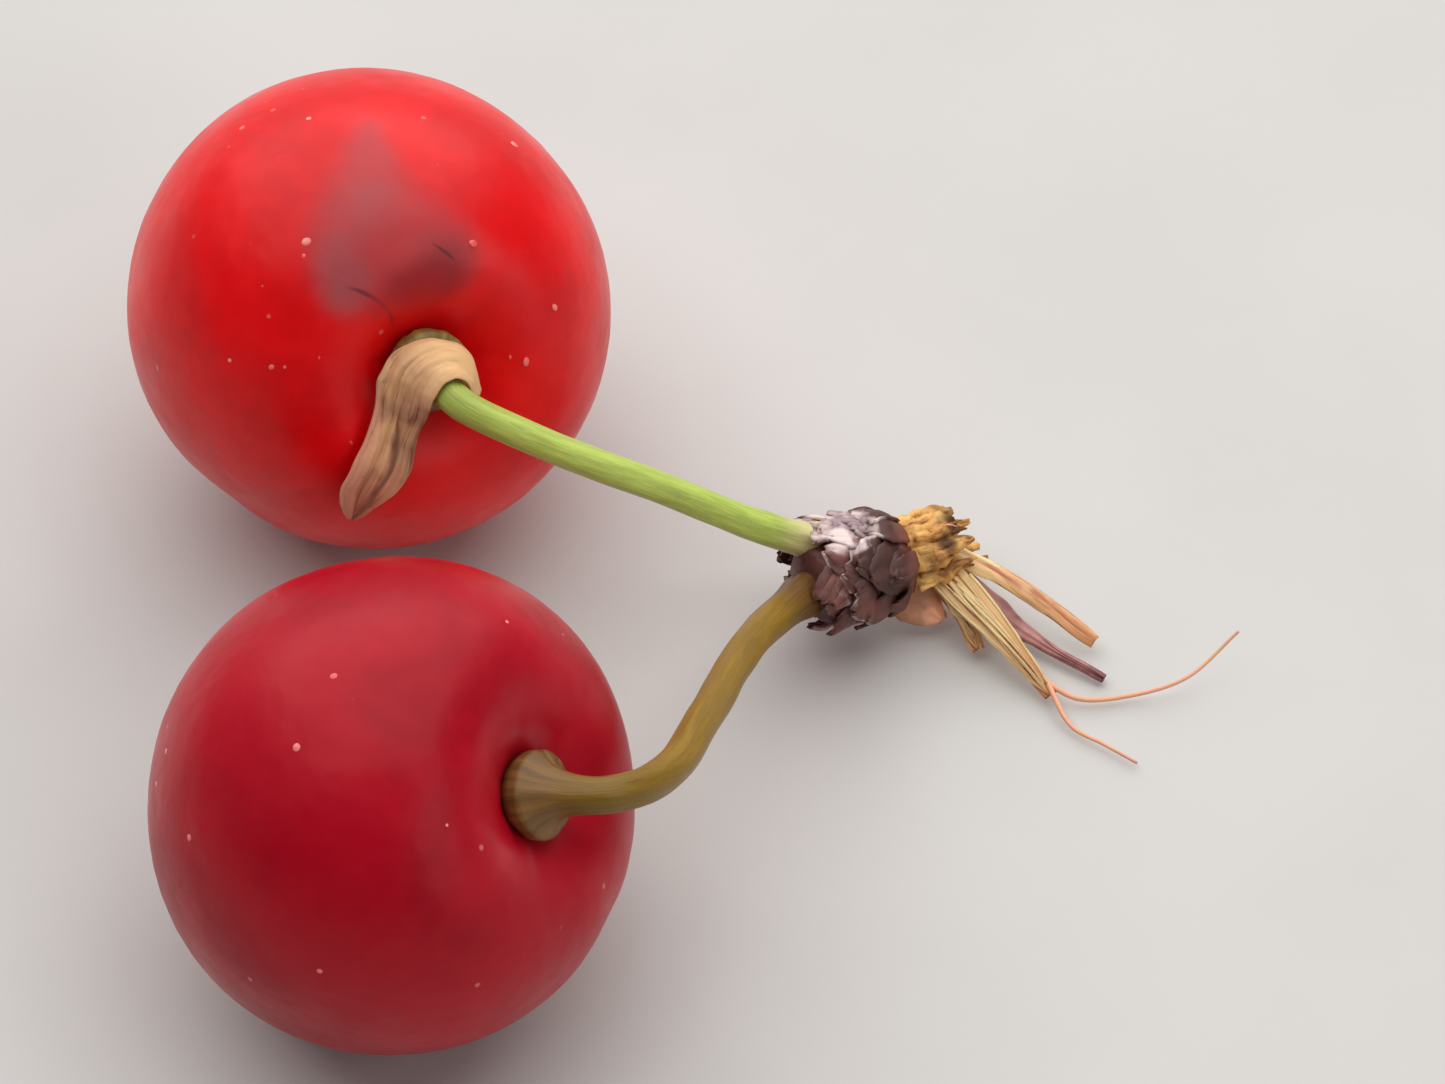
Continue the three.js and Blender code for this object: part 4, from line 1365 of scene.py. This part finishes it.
class BractSettings(bpy.types.PropertyGroup):
    colour: tint("Bract", "Middle tone of the bract", SLOT_COLOURS["dry_bract"])
    # Painted light: the paler colour laid on the lit parts of the bract.
    painted_light_colour: tint("Light", "Sunlit parts of the bract", (0.90, 0.55, 0.25))
    # Painted shade in the bottoms of the folds; the same colour makes the small dark specks.
    fold_shade_and_speck_colour: tint("Folds", "Bottoms of the folds", (0.22, 0.075, 0.038))
    tip_colour: tint("Tip", "Hanging end of the bract", (0.56, 0.12, 0.075))
    # Painted highlight on the rolled edge away from the stalk.
    painted_lit_edge_colour: tint("Lit edge", "The edge away from the stalk", (0.72, 0.34, 0.22))
    # Painted shade in the long crease down the bract.
    crease_shade_colour: tint("Crease", "The long crease down the bract", (0.17, 0.045, 0.025))
    thickness: length_of("Thickness", "Wall of the bract", 0.00016, 0.0001, 0.0006)


class StageSettings(bpy.types.PropertyGroup):
    floor: tint("Floor", "Colour of the floor", (0.59, 0.57, 0.545))
    elevation: bpy.props.FloatProperty(
        name="Elevation", description="The camera's angle above the floor",
        default=math.radians(50), min=0.0, max=math.radians(90), subtype="ANGLE",
    )
    distance: length_of("Distance", "From the camera to the pair", 0.35, 0.1, 3.0)
    span: length_of("Span", "Width that the camera takes in", 0.0638, 0.02, 1.0)
    key: power_of("Key light", "Power of the overhead light", 5.6)
    fill: power_of("Fill light", "Power of the side light", 0.7)


# ---- operators ----------------------------------------------------------------------------------------


class AddFruits(bpy.types.Operator):
    """Adds both fruits and the dew on them"""

    bl_idname = "cherries.add_fruits"
    bl_label = "Add fruits"

    def execute(self, context):
        settings = context.scene.cherry_fruits
        bright = skin_finish("bright", settings, settings.bright_colour)
        deep = skin_finish("deep", settings, settings.deep_colour)
        fruit_piece("bright", settings, bright, ["cherry_bright"])
        fruit_piece("deep", settings, deep, ["cherry_deep"])
        dew_piece(settings, dew_finish(settings))
        return {"FINISHED"}


class AddStalks(bpy.types.Operator):
    """Adds the two stalks"""

    bl_idname = "cherries.add_stalks"
    bl_label = "Add stalks"

    def execute(self, context):
        settings = context.scene.cherry_stalks
        green = stalk_finish("bright", settings, settings.green, settings.green_tip)
        olive = stalk_finish("deep", settings, settings.olive, settings.olive_tip)
        stalk_piece("bright", settings, green, ["stalk_bright"])
        stalk_piece("deep", settings, olive, ["stalk_deep"])
        return {"FINISHED"}


class AddSpur(bpy.types.Operator):
    """Adds the woody knob and its bud scales"""

    bl_idname = "cherries.add_spur"
    bl_label = "Add spur"

    def execute(self, context):
        settings = context.scene.cherry_spur
        dark, mid, silver, tan = settings.dark, settings.mid, settings.silver, settings.tan
        core = bark_finish("knob_bark", dark, mid, silver, SILVERED["knob"])
        papery = bark_finish("scale_skin", dark, mid, silver, SILVERED["scales"])
        broad = bark_finish("tan_scale_skin", scaled(tan, 0.5), tan, silver, SILVERED["tan_scale"])
        knob_piece(core)
        scale_piece(settings, papery)
        tan_scale_piece(broad)
        return {"FINISHED"}


class AddTornWood(bpy.types.Operator):
    """Adds the torn wood, its strips and its fibres"""

    bl_idname = "cherries.add_torn_wood"
    bl_label = "Add torn wood"

    def execute(self, context):
        settings, silver = context.scene.cherry_wood, context.scene.cherry_spur.silver
        wood, straw = wood_finish(settings), straw_finish(settings)
        dark, mid = settings.bark_dark, settings.bark
        bark = bark_finish("bark_strip_skin", dark, mid, silver, SILVERED["bark_strip"])
        wood_piece(settings, wood)
        for name in STRIPS:
            strip_piece(name, settings, bark if name == "bark_strip" else straw)
        hair_pieces(settings, hair_finish(settings))
        return {"FINISHED"}


class AddBract(bpy.types.Operator):
    """Adds the dried bract round the bright stalk's foot"""

    bl_idname = "cherries.add_bract"
    bl_label = "Add bract"

    def execute(self, context):
        settings = context.scene.cherry_bract
        bract_piece(settings, bract_finish(settings))
        return {"FINISHED"}


class AddStage(bpy.types.Operator):
    """Adds the floor, the lights and the camera"""

    bl_idname = "cherries.add_stage"
    bl_label = "Add stage"

    def execute(self, context):
        settings = context.scene.cherry_stage
        floor_piece(settings)
        camera_at(settings)
        soft_light("overhead", OVERHEAD_PLACE, OVERHEAD_WIDTH, settings.key)
        soft_light("side", SIDE_PLACE, SIDE_WIDTH, settings.fill)
        pale_room()
        context.scene.view_settings.view_transform = "Standard"
        return {"FINISHED"}


class CherriesPanel(bpy.types.Panel):
    """Lists the settings and the operators of each step"""

    bl_idname = "VIEW3D_PT_cherries"
    bl_label = "Cherries on stalks"
    bl_space_type = "VIEW_3D"
    bl_region_type = "UI"
    bl_category = "Cherries"

    def draw(self, context):
        for name, operator in STEPS:
            box = self.layout.box()
            settings = getattr(context.scene, name)
            for key in settings.__annotations__:
                box.prop(settings, key)
            box.operator(operator)


STEPS = [
    ("cherry_stage", "cherries.add_stage"),
    ("cherry_fruits", "cherries.add_fruits"),
    ("cherry_stalks", "cherries.add_stalks"),
    ("cherry_bract", "cherries.add_bract"),
    ("cherry_spur", "cherries.add_spur"),
    ("cherry_wood", "cherries.add_torn_wood"),
]
GROUPS = {
    "cherry_stage": StageSettings,
    "cherry_fruits": FruitSettings,
    "cherry_stalks": StalkSettings,
    "cherry_bract": BractSettings,
    "cherry_spur": SpurSettings,
    "cherry_wood": WoodSettings,
}
OPERATORS = [AddStage, AddFruits, AddStalks, AddBract, AddSpur, AddTornWood]


def register():
    for kind in [*GROUPS.values(), *OPERATORS, CherriesPanel]:
        bpy.utils.register_class(kind)
    for name, group in GROUPS.items():
        setattr(bpy.types.Scene, name, bpy.props.PointerProperty(type=group))


def unregister():
    for name in GROUPS:
        delattr(bpy.types.Scene, name)
    for kind in reversed([*GROUPS.values(), *OPERATORS, CherriesPanel]):
        bpy.utils.unregister_class(kind)


def main():
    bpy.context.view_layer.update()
    register()
    for _, operator in STEPS:
        group, step = operator.split(".")
        getattr(getattr(bpy.ops, group), step)()


if __name__ == "__main__":
    main()
